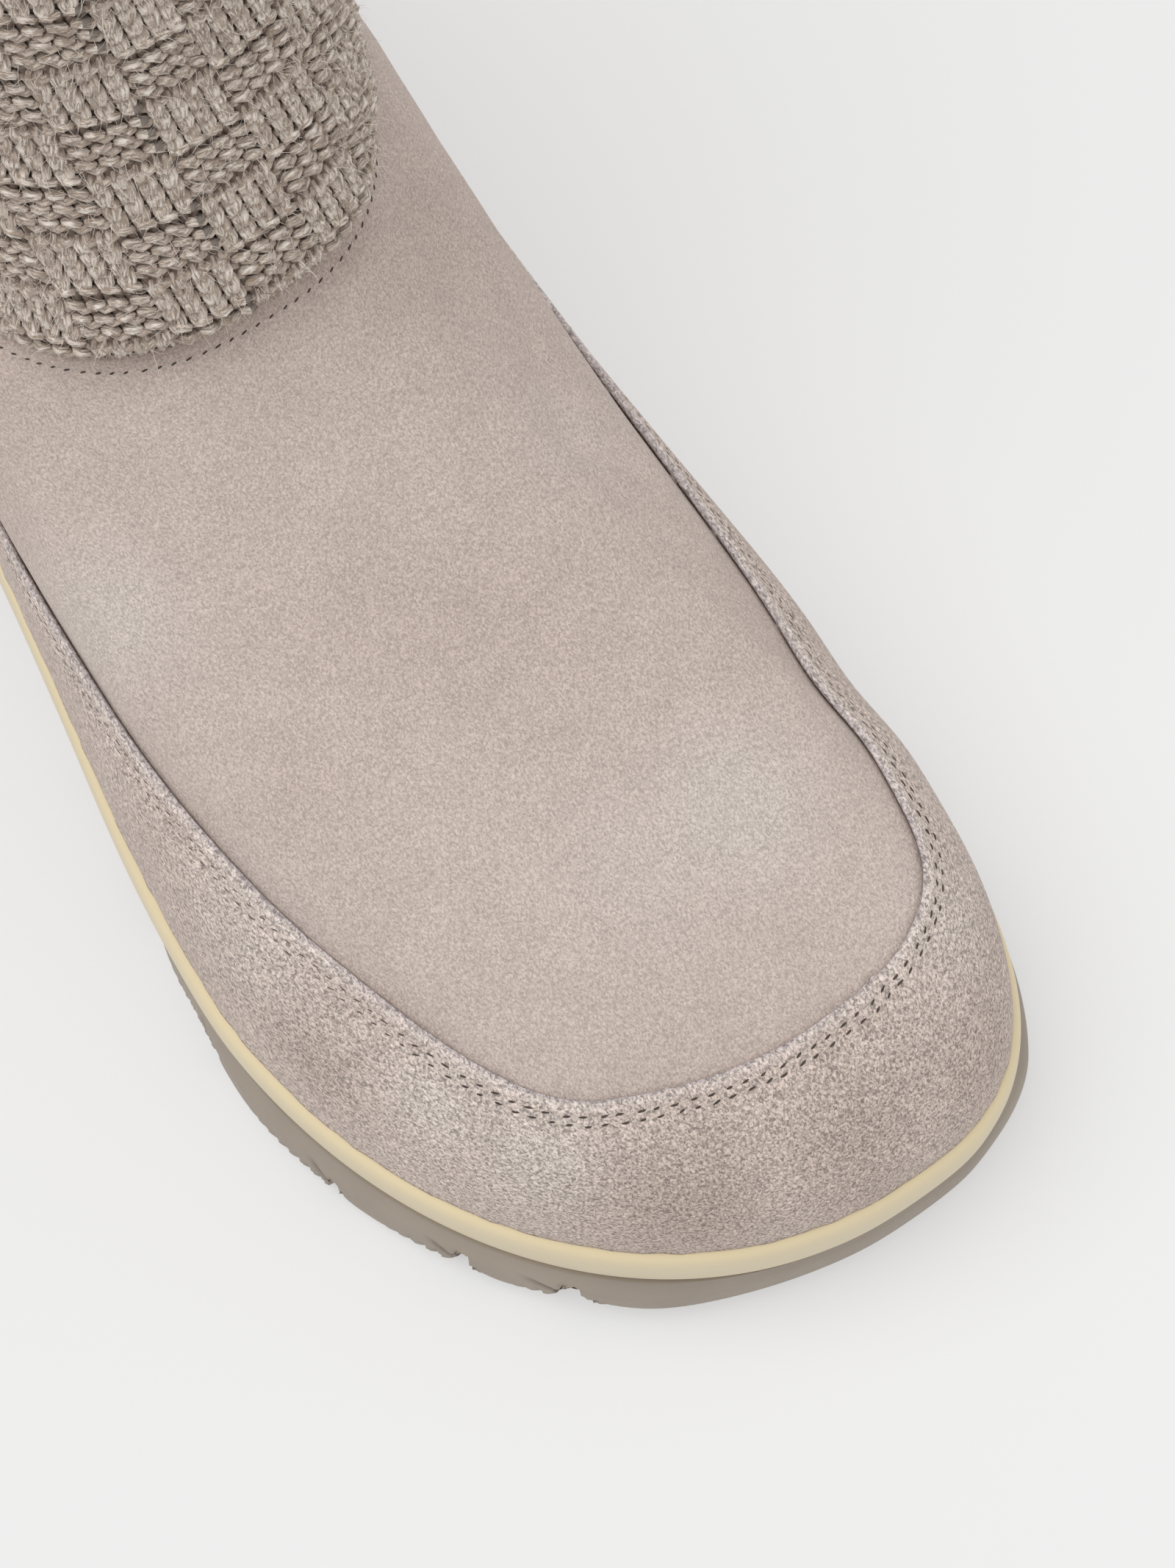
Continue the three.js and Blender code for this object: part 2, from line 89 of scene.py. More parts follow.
# Seams: insets from the edge, and rand stitches that thin out towards the sides of the boot
RAND_STITCH_INSETS = (1.9, 3.15)
THROAT_STITCH_INSET = 1.7
RAND_STITCH = {"pitch": 2.55, "thick": 0.18, "slant": 0.2, "fades": True}
THROAT_STITCH = {"pitch": 2.1, "thick": 0.15, "slant": 0.25, "fades": False}
STITCH_FADE_FROM = -98
STITCH_FADE_TO = -72
FADED_STITCH = 0.45
FURROW_DEPTH = 0.22
FURROW_WIDTH = 0.6

# Knit: wales round the shaft, rows up it, and square blocks of rib and purl by turns
WALES = 104
ROWS = 46
BLOCK = 4
KNIT_PARTS = 4
YARN_RADIUS = 0.72
YARN_SIDES = 5
STITCH_POINTS = 10
LOOP_HEIGHT = 1.5
LOOP_SWAY = 0.17
LOOP_DEPTH = 0.6
RIB_SQUEEZE = 0.09
ROW_LEAN = 0.16
LOOSENESS = 0.05
PURL_TILT = 0.06
PURL_FLAT = 1.8
SINKER_DIP = 0.3
BLOCK_RELIEF = 0.45
KNIT_START = 1.35
WALE_RING = 60
WALE_READINGS = 721
YARN_SHIFT = 37
BACKING_DEPTH = 1.7
BACKING_TAPER = 6

# Loose fibres: how many, how long, how steeply they rise and how wide they are
FUZZ = {"count": 20000, "lengths": (1.4, 4.2), "lift": (0.05, 0.6), "width": 0.075}
EDGE_FIBRES = {"count": 500, "lengths": (0.5, 1.7), "lift": (0.1, 0.5), "width": 0.07}
EDGE_FIBRE_INSET = 0.35

# Cream band: the shares of its height where its lower tone ends and its upper tone begins
CREAM_FADE_FROM = 0.35
CREAM_FADE = 0.5

# Footbed: rings from its foot to the middle of its top
FOOTBED_RINGS = (
    {"inset": 0.9, "height": 0.2},
    {"inset": 0.7, "height": 3.2},
    {"inset": 1.6, "height": 4.4},
    {"inset": 5, "height": 4.0},
    {"inset": 12, "height": 3.4},
)
FOOTBED_ASPECT = 0.6

# Sole, in the sizes that the CAD model gives it
SOLE_LENGTH = 268
TOE_TIP_SIDE = 15
TOE_SPRING = 6
SPRING_LENGTH = 62
SPRING_CURVE = 1.7
ARCH_RISE = 3
ARCH_FROM = 124
ARCH_TO = 188
HEEL_BEVEL_RISE = 2.5
HEEL_BEVEL_LENGTH = 16
TOE_FLARE = 0.1
TOE_FLARE_LENGTH = 12
FOREFOOT_FLARE = 2.2
FLARE_END_ALONG = 86
FLARE_FADE = 26
WAIST_TUCK = 3
HEEL_FLARE = 1
HEEL_FLARE_ALONG = 196
SEAT_GAP = 0.3
GROOVE_WIDTH = 2.6
GROOVE_DEPTH = 4.5
GROOVE_SLANT = 0.35
GROOVE_ROUND = 0.3
CENTRE_GROOVE_WIDTH = 5
FOREFOOT_GROOVES = (0.026, 0.060, 0.120, 0.213, 0.306, 0.392)
HEEL_GROOVES = (0.731, 0.799, 0.866)

# Fine cuts of the outsole's edge, with heights as shares of its side
CRISP_ANGLE = math.radians(35)
GROOVE_MOUTH = 1.2
SOLE_FINE = 20
SIDE_STEP = 0.04
SIDE_STEPS_END = 0.8
BOTTOM_ROWS = 20
FOOT_DRAW = 0.7
FOOT_DRAW_TOP = 0.06
TOOTH_PITCH = 2.2
TOOTH_DEPTH = 1.1
TOOTH_SLANT = 3
TOOTH_CURVE = 1.5
TOOTH_TOP = 0.48
TOOTH_FADE = 0.3
TEETH_FROM = 0.25
TEETH_OVER = 0.6
# Where painted shade lies in each tooth's recess, as shares of a tooth
TOOTH_DARK = 0.4
TOOTH_DARK_FADE = 0.25
LEAF_DEPTH = 0.9
LEAF_WIDTH = 0.6
LEAF_SLANT = 10.5
LEAF_MIDDLE = 0.2
LEAF_TOP = 0.75
LEAF_FADE = 0.3

# Sizes of the nap's patches and brush marks, as noise scales
NAP_PATCHES = 34
NAP_MARKS = 150


def srgb(red, green, blue):
    """Linear colour from screen values between 0 and 255."""
    def linear(value):
        value = value / 255
        return value / 12.92 if value <= 0.04045 else ((value + 0.055) / 1.055) ** 2.4
    return (linear(red), linear(green), linear(blue), 1)


# Rings read back from a CAD node

def welded(node):
    """The shared corners of a CAD node, and its triangles."""
    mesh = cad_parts[node].data
    corners = np.zeros(len(mesh.vertices) * 3, np.float32)
    mesh.vertices.foreach_get("co", corners)
    points, shared = np.unique(corners.reshape(-1, 3), axis=0, return_inverse=True)
    used = np.zeros(len(mesh.polygons) * 3, np.int32)
    mesh.polygons.foreach_get("vertices", used)
    return points.astype(float) / MM, shared.reshape(-1)[used].reshape(-1, 3)


def neighbours(triangles):
    """For each corner, which neighbour follows which, going round it."""
    around = {}
    for a, b, c in triangles.tolist():
        around.setdefault(a, {})[b] = c
        around.setdefault(b, {})[c] = a
        around.setdefault(c, {})[a] = b
    return around


def straight_ring(around, start, step):
    """The ring of corners that a straight walk makes, or nothing if it isn't a ring."""
    ring = [start]
    before, here = start, step
    while here != start:
        if len(ring) > COLUMNS or len(around[here]) != 6:
            return None
        ring.append(here)
        ahead = before
        for _ in range(3):
            ahead = around[here][ahead]
        before, here = here, ahead
    return ring if len(ring) == COLUMNS else None


def first_ring(points, around):
    """A ring that starts at the toe and goes round the lateral side first."""
    for start, following in around.items():
        if len(following) != 6:
            continue
        for step in following:
            ring = straight_ring(around, start, step)
            if ring:
                places = points[ring]
                toe = int(places[:, 1].argmin())
                ring = ring[toe:] + ring[:toe]
                if points[ring[1]][0] > points[ring[-1]][0]:
                    ring = ring[:1] + ring[:0:-1]
                return ring
    raise ValueError("no ring of corners was found")


def next_ring(around, ring, upwards):
    """The ring of corners above or below a ring."""
    shift = -1 if upwards else 1
    return [around[corner][ring[(k + shift) % COLUMNS]] for k, corner in enumerate(ring)]


def rings_of(node):
    """All rings of a node: a hollow piece's go up its outside and down its inside."""
    points, triangles = welded(node)
    around = neighbours(triangles)
    start = first_ring(points, around)
    rings = [start]
    while True:
        ring = next_ring(around, rings[-1], True)
        if ring[0] == start[0]:
            break
        rings.append(ring)
        if any(len(around[corner]) != 6 for corner in ring):
            ring = next_ring(around, start, False)
            rings.insert(0, ring)
            while all(len(around[corner]) == 6 for corner in rings[0]):
                rings.insert(0, next_ring(around, rings[0], False))
            return points[np.array(rings)]
    stack = points[np.array(rings)]
    heights = stack[:, :, 2].mean(axis=1)
    foot = int((heights + np.roll(heights, 1)).argmin())
    return np.roll(stack, -foot, axis=0)


# Smooth surfaces through the rings

def spline(count, places, closed):
    """Weights that read a smooth curve through count points at the given places."""
    if closed:
        knots = 4 * np.eye(count) + np.roll(np.eye(count), 1, 0) + np.roll(np.eye(count), -1, 0)
        solved = np.linalg.inv(knots / 6)
    else:
        knots = np.eye(count)
        for i in range(1, count - 1):
            knots[i, i - 1:i + 2] = (1 / 6, 4 / 6, 1 / 6)
        solved = np.linalg.inv(knots)
        before = 2 * solved[0] - solved[1]
        after = 2 * solved[-1] - solved[-2]
        solved = np.vstack([before, solved, after])
    places = np.asarray(places, float)
    whole = np.floor(places).astype(int)
    if not closed:
        whole = np.clip(whole, 0, count - 2)
    part = places - whole
    shares = (
        (1 - part) ** 3 / 6,
        (3 * part ** 3 - 6 * part ** 2 + 4) / 6,
        (-3 * part ** 3 + 3 * part ** 2 + 3 * part + 1) / 6,
        part ** 3 / 6,
    )
    rows = np.zeros((len(places), count))
    for offset, share in enumerate(shares):
        index = (whole - 1 + offset) % count if closed else whole + offset
        rows += share[:, None] * solved[index]
    return rows


def surface(rings, ups, rounds):
    """Points of the smooth surface through the rings, at ring places and column places."""
    across = spline(len(rings), ups, False)
    along = spline(COLUMNS, rounds, True)
    return np.einsum("ur,rkc,vk->uvc", across, rings, along)


def unit(vectors):
    return vectors / np.maximum(np.linalg.norm(vectors, axis=-1, keepdims=True), 1e-9)


def normals(grid):
    """Outward directions of a grid of points that is closed round the boot."""
    up = np.gradient(grid, axis=0)
    along = np.roll(grid, -1, axis=1) - np.roll(grid, 1, axis=1)
    return unit(np.cross(up, along))


def smooth(value):
    value = np.clip(value, 0, 1)
    return value * value * (3 - 2 * value)


fine_rounds = np.arange(COLUMNS * FINE) / FINE


# Meshes

def make_piece(name, points, faces, material, replaces=(), uvs=None, values=None, crisp=False):
    """One piece of the boot from points in millimetres and quads or triangles."""
    mesh = bpy.data.meshes.new(name)
    mesh.from_pydata((np.asarray(points).reshape(-1, 3) * MM).tolist(), [], np.asarray(faces).tolist())
    mesh.shade_smooth()
    if crisp:
        mesh.set_sharp_from_angle(angle=CRISP_ANGLE)
    for label, numbers in (values or {}).items():
        attribute = mesh.attributes.new(label, "FLOAT", "POINT")
        attribute.data.foreach_set("value", np.asarray(numbers, np.float32).reshape(-1))
    if uvs is not None:
        layer = mesh.uv_layers.new(name="UVMap")
        corners = np.zeros(len(mesh.loops), np.int32)
        mesh.loops.foreach_get("vertex_index", corners)
        layer.data.foreach_set("uv", np.asarray(uvs, np.float32).reshape(-1, 2)[corners].reshape(-1))
    mesh.materials.append(material)
    mesh.update()
    piece = bpy.data.objects.new(name, mesh)
    bpy.context.scene.collection.objects.link(piece)
    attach(piece, "root")
    if replaces:
        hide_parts(*replaces)
    return piece


def sheet_faces(rows, columns, closed_rows=False):
    """Quads between the rows of a grid that is closed round the boot."""
    lower = np.arange(rows if closed_rows else rows - 1)
    upper = (lower + 1) % rows
    k = np.arange(columns)
    after = (k + 1) % columns
    a = lower[:, None] * columns + k
    b = upper[:, None] * columns + k
    c = upper[:, None] * columns + after
    d = lower[:, None] * columns + after
    return np.stack([a, b, c, d], axis=-1).reshape(-1, 4)


def rolled_edge(outer_edge, inner_edge, rise, rows, bulge):
    """Rows of a rounded cut edge from the outer to the inner side of a wall."""
    grid = []
    for i in range(1, rows):
        share = i / rows
        grid.append(
            outer_edge * (1 - share) + inner_edge * share
            + rise * bulge * math.sin(math.pi * share)
        )
    return np.array(grid)


def tubes(centres, normal, radius, sides, closed):
    """Tubes along lines of points: centres and normals are (lines, points, 3)."""
    if closed:
        tangent = np.roll(centres, -1, axis=1) - np.roll(centres, 1, axis=1)
    else:
        tangent = np.gradient(centres, axis=1)
    tangent = unit(tangent)
    side = unit(np.cross(tangent, normal))
    out = np.cross(side, tangent)
    radius = np.broadcast_to(np.asarray(radius, float), centres.shape[:2])[..., None]
    turn = 2 * math.pi * np.arange(sides) / sides
    points = np.stack(
        [centres + radius * (out * math.cos(a) + side * math.sin(a)) for a in turn], axis=2,
    )
    lines, count = centres.shape[:2]
    steps = np.arange(count if closed else count - 1)
    after = (steps + 1) % count
    turn_index = np.arange(sides)
    turn_after = (turn_index + 1) % sides
    line = np.arange(lines)[:, None, None] * count * sides
    a = line + steps[None, :, None] * sides + turn_index
    b = line + after[None, :, None] * sides + turn_index
    c = line + after[None, :, None] * sides + turn_after
    d = line + steps[None, :, None] * sides + turn_after
    faces = np.stack([a, b, c, d], axis=-1).reshape(-1, 4)
    return points, faces


# Materials

class Shading:
    """A material made of nodes, with short ways to add them."""

    def __init__(self, name):
        self.material = bpy.data.materials.new(name)
        self.material.use_nodes = True
        self.tree = self.material.node_tree
        self.shader = self.tree.nodes["Principled BSDF"]

    def add(self, kind, inputs=None, **settings):
        node = self.tree.nodes.new(kind)
        for key, value in settings.items():
            setattr(node, key, value)
        for socket, value in (inputs or {}).items():
            self.set(node, socket, value)
        return node

    def set(self, node, socket, value):
        if isinstance(value, bpy.types.NodeSocket):
            self.tree.links.new(value, node.inputs[socket])
        else:
            node.inputs[socket].default_value = value

    def place(self):
        return self.add("ShaderNodeTexCoord").outputs["Object"]

    def noise(self, scale, detail=2, roughness=0.5, place=None, warp=0):
        node = self.add("ShaderNodeTexNoise", {
            "Vector": place or self.place(), "Scale": scale, "Detail": detail, "Roughness": roughness,
            "Distortion": warp,
        })
        return node.outputs["Fac"]

    def stretch(self, value, low, high, to_low=0.0, to_high=1.0):
        node = self.add("ShaderNodeMapRange", {
            "Value": value, "From Min": low, "From Max": high, "To Min": to_low, "To Max": to_high,
        })
        return node.outputs["Result"]

    def mix(self, share, first, second):
        node = self.add("ShaderNodeMix", data_type="RGBA")
        self.set(node, 0, share)
        self.set(node, 6, first)
        self.set(node, 7, second)
        return node.outputs[2]

    def math(self, operation, first, second):
        node = self.add("ShaderNodeMath", operation=operation)
        self.set(node, 0, first)
        self.set(node, 1, second)
        return node.outputs[0]

    def scale(self, colour, amount):
        node = self.add("ShaderNodeVectorMath", operation="SCALE")
        self.set(node, "Vector", colour)
        self.set(node, "Scale", amount)
        return node.outputs["Vector"]

    def value(self, name):
        return self.add("ShaderNodeAttribute", attribute_name=name).outputs["Fac"]

    def bump(self, height, strength, distance, below=None):
        node = self.add("ShaderNodeBump", {"Height": height, "Strength": strength, "Distance": distance})
        if below is not None:
            self.set(node, "Normal", below)
        return node.outputs["Normal"]


def suede(name, tones, fibre_size, contrast, relief):
    """Napped suede: short streaks of lit and shaded fibre, patches where the nap lies over, and painted
    highlights and painted shade read from the mesh.
    """
    shading = Shading(name)
    close = 1000 / fibre_size
    fine = shading.add("ShaderNodeMapping", {
        "Vector": shading.place(), "Scale": (close, 0.65 * close, close),
    }).outputs[0]
    fibre = shading.noise(1, 2.5, 0.6, fine, 0.7)
    patches = shading.stretch(shading.noise(NAP_PATCHES, 2, 0.5), 0.3, 0.7)
    brushed = shading.stretch(shading.noise(NAP_MARKS, 3, 0.6), 0.3, 0.7)
    tone = shading.mix(patches, tones["base"], tones["other"])
    # From the mesh: brushed nap with a painted highlight, painted shade, the pale raw edge with a painted
    # highlight on its ridge, and the cut face
    for part, colour in (
        ("brushed_nap_and_highlight", tones["brushed_nap_and_highlight"]), ("deep", tones["deep"]), ("raw", RAW_EDGE_AND_HIGHLIGHT), ("cut", CUT_EDGE),
    ):
        tone = shading.mix(shading.value(part), tone, colour)
    grain = shading.stretch(fibre, 0.36, 0.64, 1 - contrast, 1 + contrast)
    cloud = shading.stretch(brushed, 0, 1, 0.97, 1.04)
    light = shading.math("MULTIPLY", grain, cloud)
    shading.set(shading.shader, "Base Color", shading.scale(tone, light))
    shading.set(shading.shader, "Roughness", shading.stretch(brushed, 0, 1, 0.86, 0.97))
    shading.set(shading.shader, "Specular IOR Level", 0.2)
    shading.set(shading.shader, "Sheen Weight", 0.12)
    shading.set(shading.shader, "Sheen Roughness", 0.5)
    shading.set(shading.shader, "Sheen Tint", srgb(225, 216, 210))
    soft = shading.bump(brushed, 0.2, 0.0004)
    shading.set(shading.shader, "Normal", shading.bump(fibre, 0.75, relief, soft))
    return shading.material


def yarn(name):
    """Soft wool: strands along the yarn, a painted highlight on the proud loops and painted shade where
    they dip.
    """
    shading = Shading(name)
    uv = shading.add("ShaderNodeUVMap", uv_map="UVMap").outputs["UV"]
    along = shading.add("ShaderNodeMapping", {"Vector": uv, "Scale": (0.7, 9, 1)}).outputs[0]
    strands = shading.noise(1, 3, 0.65, along, 0.8)
    proud = shading.value("proud")
    colour = shading.mix(shading.stretch(strands, 0.36, 0.6), YARN_SHADE, YARN_BASE)
    # Painted highlight on the crowns of the proud loops
    crown = shading.math("POWER", proud, 2.0)
    lit = shading.math("MULTIPLY", shading.stretch(strands, 0.44, 0.6), crown)
    colour = shading.mix(lit, colour, YARN_PAINTED_HIGHLIGHT)
    # Painted shade where the yarn sits low
    colour = shading.mix(shading.stretch(proud, -0.08, 0.34), YARN_PAINTED_SHADE, colour)
    shading.set(shading.shader, "Base Color", colour)
    shading.set(shading.shader, "Roughness", 0.9)
    shading.set(shading.shader, "Specular IOR Level", 0.25)
    shading.set(shading.shader, "Sheen Weight", 0.3)
    shading.set(shading.shader, "Sheen Roughness", 0.5)
    shading.set(shading.shader, "Sheen Tint", srgb(235, 228, 220))
    shading.set(shading.shader, "Normal", shading.bump(strands, 1.0, 0.0006))
    return shading.material


def foam(name, low, high):
    """Cream foam: greyer at its foot, yellower under its top edge, with faint rubbed marks."""
    shading = Shading(name)
    colour = shading.mix(shading.value("height"), low, high)
    patches = shading.stretch(shading.noise(90, 3), 0.4, 0.75)
    colour = shading.mix(shading.math("MULTIPLY", patches, 0.18), colour, low)
    shading.set(shading.shader, "Base Color", colour)
    fine = shading.noise(1500, 2)
    shading.set(shading.shader, "Roughness", shading.stretch(fine, 0.3, 0.7, 0.5, 0.62))
    shading.set(shading.shader, "Coat Weight", 0.08)
    shading.set(shading.shader, "Coat Roughness", 0.5)
    shading.set(shading.shader, "Normal", shading.bump(fine, 0.2, 0.0001))
    return shading.material


def moulded(name, base, other, roughness, grain, deep=None):
    """Rubber, thread or fibre with a faint mottle and a fine matte grain, and painted shade in its cuts.
    """
    shading = Shading(name)
    patches = shading.stretch(shading.noise(70, 3), 0.35, 0.7)
    colour = shading.mix(shading.math("MULTIPLY", patches, 0.6), base, other)
    # Painted shade in the edge's teeth and slits
    if deep:
        colour = shading.mix(shading.value("deep"), colour, deep)
    shading.set(shading.shader, "Base Color", colour)
    fine = shading.noise(grain, 2)
    matte = shading.stretch(fine, 0.3, 0.7, roughness - 0.05, roughness + 0.08)
    shading.set(shading.shader, "Roughness", matte)
    shading.set(shading.shader, "Normal", shading.bump(fine, 0.2, 0.0001))
    return shading.material


def plain_cloth(name, base, dark, scale):
    """A lining or footbed cloth with a small weave."""
    shading = Shading(name)
    place = shading.place()
    bands = [
        shading.add(
            "ShaderNodeTexWave", {"Vector": place, "Scale": scale}, bands_direction=direction,
        ).outputs["Fac"]
        for direction in ("X", "Y")
    ]
    weave = shading.math("MULTIPLY", *bands)
    mottle = shading.stretch(shading.noise(90, 3), 0.3, 0.7)
    colour = shading.mix(weave, shading.mix(mottle, dark, base), base)
    shading.set(shading.shader, "Base Color", colour)
    shading.set(shading.shader, "Roughness", 0.95)
    shading.set(shading.shader, "Normal", shading.bump(weave, 0.4, 0.0003))
    return shading.material


# Pale raw edge, lightened further as a painted highlight on its ridge; the cut face keeps its own lilac
RAW_EDGE_AND_HIGHLIGHT = srgb(216, 204, 198)
CUT_EDGE = srgb(194, 184, 183)
# Wool: two strand tones, a painted highlight for the proud loops and painted shade for the low yarn
YARN_BASE = srgb(211, 192, 177)
YARN_PAINTED_HIGHLIGHT = srgb(253, 244, 233)
YARN_SHADE = srgb(166, 148, 133)
YARN_PAINTED_SHADE = srgb(122, 104, 92)
# Suede tones: base and other vary at random; the third is brushed nap with a painted highlight, the last
# is painted shade
VAMP_TONES = {
    "base": srgb(201, 186, 177), "other": srgb(195, 179, 170), "brushed_nap_and_highlight": srgb(206, 196, 189),
    "deep": srgb(184, 167, 157),
}
RAND_TONES = {
    "base": srgb(206, 191, 182), "other": srgb(198, 182, 173), "brushed_nap_and_highlight": srgb(214, 204, 197),
    "deep": srgb(176, 158, 148),
}

upper_suede = suede("upper_suede", VAMP_TONES, 0.3, 0.24, 0.0002)
rand_suede = suede("rand_suede", RAND_TONES, 0.38, 0.5, 0.0005)
wool = yarn("wool")
cream_foam = foam("cream_foam", srgb(222, 208, 178), srgb(233, 216, 177))
# The last tone is painted shade for the edge's teeth and slits
taupe_rubber = moulded(
    "taupe_rubber", srgb(163, 151, 138), srgb(152, 140, 128), 0.6, 1200, srgb(92, 80, 72),
)
thread_light = moulded("thread", srgb(216, 205, 193), srgb(196, 184, 172), 0.8, 4000)
# Dark tube on each needle slot, as painted shade in the hole
needle_hole_shade = moulded("needle_hole_shade", srgb(80, 70, 64), srgb(62, 54, 50), 0.9, 2000)
fibre_light = moulded("loose_fibre", srgb(234, 224, 214), srgb(214, 203, 192), 0.9, 4000)
footbed_cloth = plain_cloth("footbed_cloth", srgb(186, 174, 160), srgb(158, 145, 132), 420)
backing_cloth = plain_cloth("backing_cloth", srgb(156, 141, 129), srgb(130, 116, 106), 500)

# Rings from the CAD model
upper_rings = rings_of("upper")
rand_rings = rings_of("rand")
shaft_rings = rings_of("shaft")
midsole_rings = rings_of("midsole")


def halves(rings):
    """Outer rings from the foot up, and inner rings from the foot up."""
    half = len(rings) // 2
    return rings[:half], rings[half:][::-1]


skin_outer, skin_inner = halves(upper_rings)
rand_outer, rand_inner = halves(rand_rings)
shaft_outer, shaft_inner = halves(shaft_rings)


def lengths_up(grid):
    """Distance of each point of a grid from the foot of its column."""
    steps = np.linalg.norm(np.diff(grid, axis=0), axis=2)
    return np.vstack([np.zeros(grid.shape[1]), np.cumsum(steps, axis=0)])


def lengths_round(line):
    """Distance of each point of a closed line from its first, with the whole length last."""
    steps = np.linalg.norm(np.roll(line, -1, axis=0) - line, axis=1)
    return np.concatenate([[0], np.cumsum(steps)])


# Patches of brushed nap with a painted highlight, and of laid nap with painted shade: centre, size and
# amount
BRUSHED_NAP_AND_PAINTED_HIGHLIGHT = (
    {"x": 19, "y": -82, "z": 57, "radius": 14, "amount": 0.8},
    {"x": 6, "y": -82, "z": 57, "radius": 16, "amount": 0.5},
    {"x": -38, "y": -14, "z": 62, "radius": 13, "amount": 0.7},
    {"x": 27, "y": -27, "z": 66, "radius": 12, "amount": 0.35},
    {"x": -28, "y": -106, "z": 44, "radius": 9, "amount": 0.6},
    {"x": -36, "y": -92, "z": 45, "radius": 8, "amount": 0.55},
    {"x": -46, "y": -58, "z": 45, "radius": 12, "amount": 0.4},
    {"x": 36, "y": -109, "z": 48, "radius": 10, "amount": 0.35},
)
LAID_NAP_AND_PAINTED_SHADE = (
    {"x": -13, "y": -121, "z": 39, "radius": 12, "amount": 0.6},
    {"x": 10, "y": -126, "z": 42, "radius": 12, "amount": 0.5},
    {"x": 28, "y": -124, "z": 36, "radius": 10, "amount": 0.45},
    {"x": -45, "y": -76, "z": 36, "radius": 9, "amount": 0.5},
    {"x": 14, "y": 4, "z": 87, "radius": 10, "amount": 0.5},
    {"x": 24, "y": 6, "z": 79, "radius": 9, "amount": 0.4},
    {"x": -30, "y": 12, "z": 80, "radius": 12, "amount": 0.35},
    {"x": 10, "y": -45, "z": 66, "radius": 16, "amount": 0.25},
)

# Soft creases of the vamp and the quarters, from one end to the other
CREASES = (
    {"start": (31, -14, 65), "end": (28, -27, 66), "depth": 0.5, "width": 3.0},
    {"start": (29, -29, 64), "end": (35, -35, 58), "depth": 0.4, "width": 2.6},
    {"start": (16, -2, 84), "end": (31, 1, 72), "depth": 0.5, "width": 4.0},
    {"start": (-18, -6, 82), "end": (-34, -2, 70), "depth": 0.5, "width": 4.0},
    {"start": (-36, 14, 72), "end": (-41, 0, 60), "depth": 0.6, "width": 4.5},
    {"start": (37, 30, 68), "end": (38, 6, 58), "depth": 0.7, "width": 5.0},
    {"start": (-36, 70, 60), "end": (-36, 40, 52), "depth": 0.6, "width": 5.0},
    {"start": (37, 78, 62), "end": (36, 50, 50), "depth": 0.6, "width": 5.0},
    {"start": (-20, -48, 66), "end": (6, -52, 65), "depth": 0.35, "width": 6.0},
)


def patch_share(grid, patches):
    """How strongly each point of a grid lies in one of the patches."""
    share = np.zeros(grid.shape[:2])
    for patch in patches:
        centre = np.array([patch["x"], patch["y"], patch["z"]])
        far = np.linalg.norm(grid - centre, axis=2) / patch["radius"]
        share = np.maximum(share, patch["amount"] * np.exp(-far ** 2))
    return share


def crease_depth(grid):
    """How far each point of a grid sinks in the creases, with a low ridge beside each."""
    depth = np.zeros(grid.shape[:2])
    for crease in CREASES:
        start = np.array(crease["start"], float)
        run = np.array(crease["end"], float) - start
        way = np.clip(((grid - start) @ run) / (run @ run), 0, 1)
        far = np.linalg.norm(grid - start - way[..., None] * run, axis=2) / crease["width"]
        depth += crease["depth"] * (1.4 - far ** 2) * np.exp(-far ** 2) / 1.4
    return depth


def wander(distance, wave):
    """An irregular in and out along a line, the same on each run."""
    phases = np.random.default_rng(wave["seed"]).uniform(0, 2 * math.pi, 5)
    turns = distance * 2 * math.pi / wave["length"]
    waves = [np.sin(turns * (1 + 0.7 * i) + phase) for i, phase in enumerate(phases)]
    return wave["depth"] * sum(waves) / 3


def furrow(distance, insets):
    """How deep the seams press the suede in, at a distance from its edge."""
    depth = np.zeros_like(distance)
    for inset in insets:
        depth = np.maximum(depth, np.exp(-((distance - inset) / FURROW_WIDTH) ** 2))
    return FURROW_DEPTH * depth


# Upper

def build_upper():
    """The suede shell, pressed in along its seam and creased over the instep."""
    outer_ups = np.linspace(0, len(skin_outer) - 1, UPPER_ROWS)
    inner_ups = np.linspace(len(skin_inner) - 1, 0, UPPER_INNER_ROWS)
    outer = surface(skin_outer, outer_ups, fine_rounds)
    inner = surface(skin_inner, inner_ups, fine_rounds)
    out = normals(outer)
    from_top = lengths_up(outer)[-1] - lengths_up(outer)
    press = furrow(from_top, (THROAT_STITCH_INSET,)) + crease_depth(outer)
    outer = outer - out * press[..., None]
    rise = unit(outer[-1] - outer[-2])
    edge = rolled_edge(outer[-1], inner[0], rise, EDGE_ROWS, EDGE_BULGE)
    grid = np.concatenate([outer, edge, inner])
    brushed_nap_and_highlight = np.zeros(grid.shape[:2])
    brushed_nap_and_highlight[:len(outer)] = patch_share(outer, BRUSHED_NAP_AND_PAINTED_HIGHLIGHT)
    # Painted shade: half tone on the edge and the inside, the laid nap patches, and under the knit's
    # overhang along the throat
    deep = np.full(grid.shape[:2], 0.5)
    deep[:len(outer)] = np.maximum(
        patch_share(outer, LAID_NAP_AND_PAINTED_SHADE), 0.45 * np.exp(-(from_top / THROAT_STITCH_INSET) ** 2),
    )
    make_piece(
        "upper_skin", grid, sheet_faces(len(grid), grid.shape[1], True), upper_suede,
        ("upper",), values={"brushed_nap_and_highlight": brushed_nap_and_highlight, "deep": deep, "raw": 0 * brushed_nap_and_highlight, "cut": 0 * brushed_nap_and_highlight},
    )
    return outer, out


# Rand

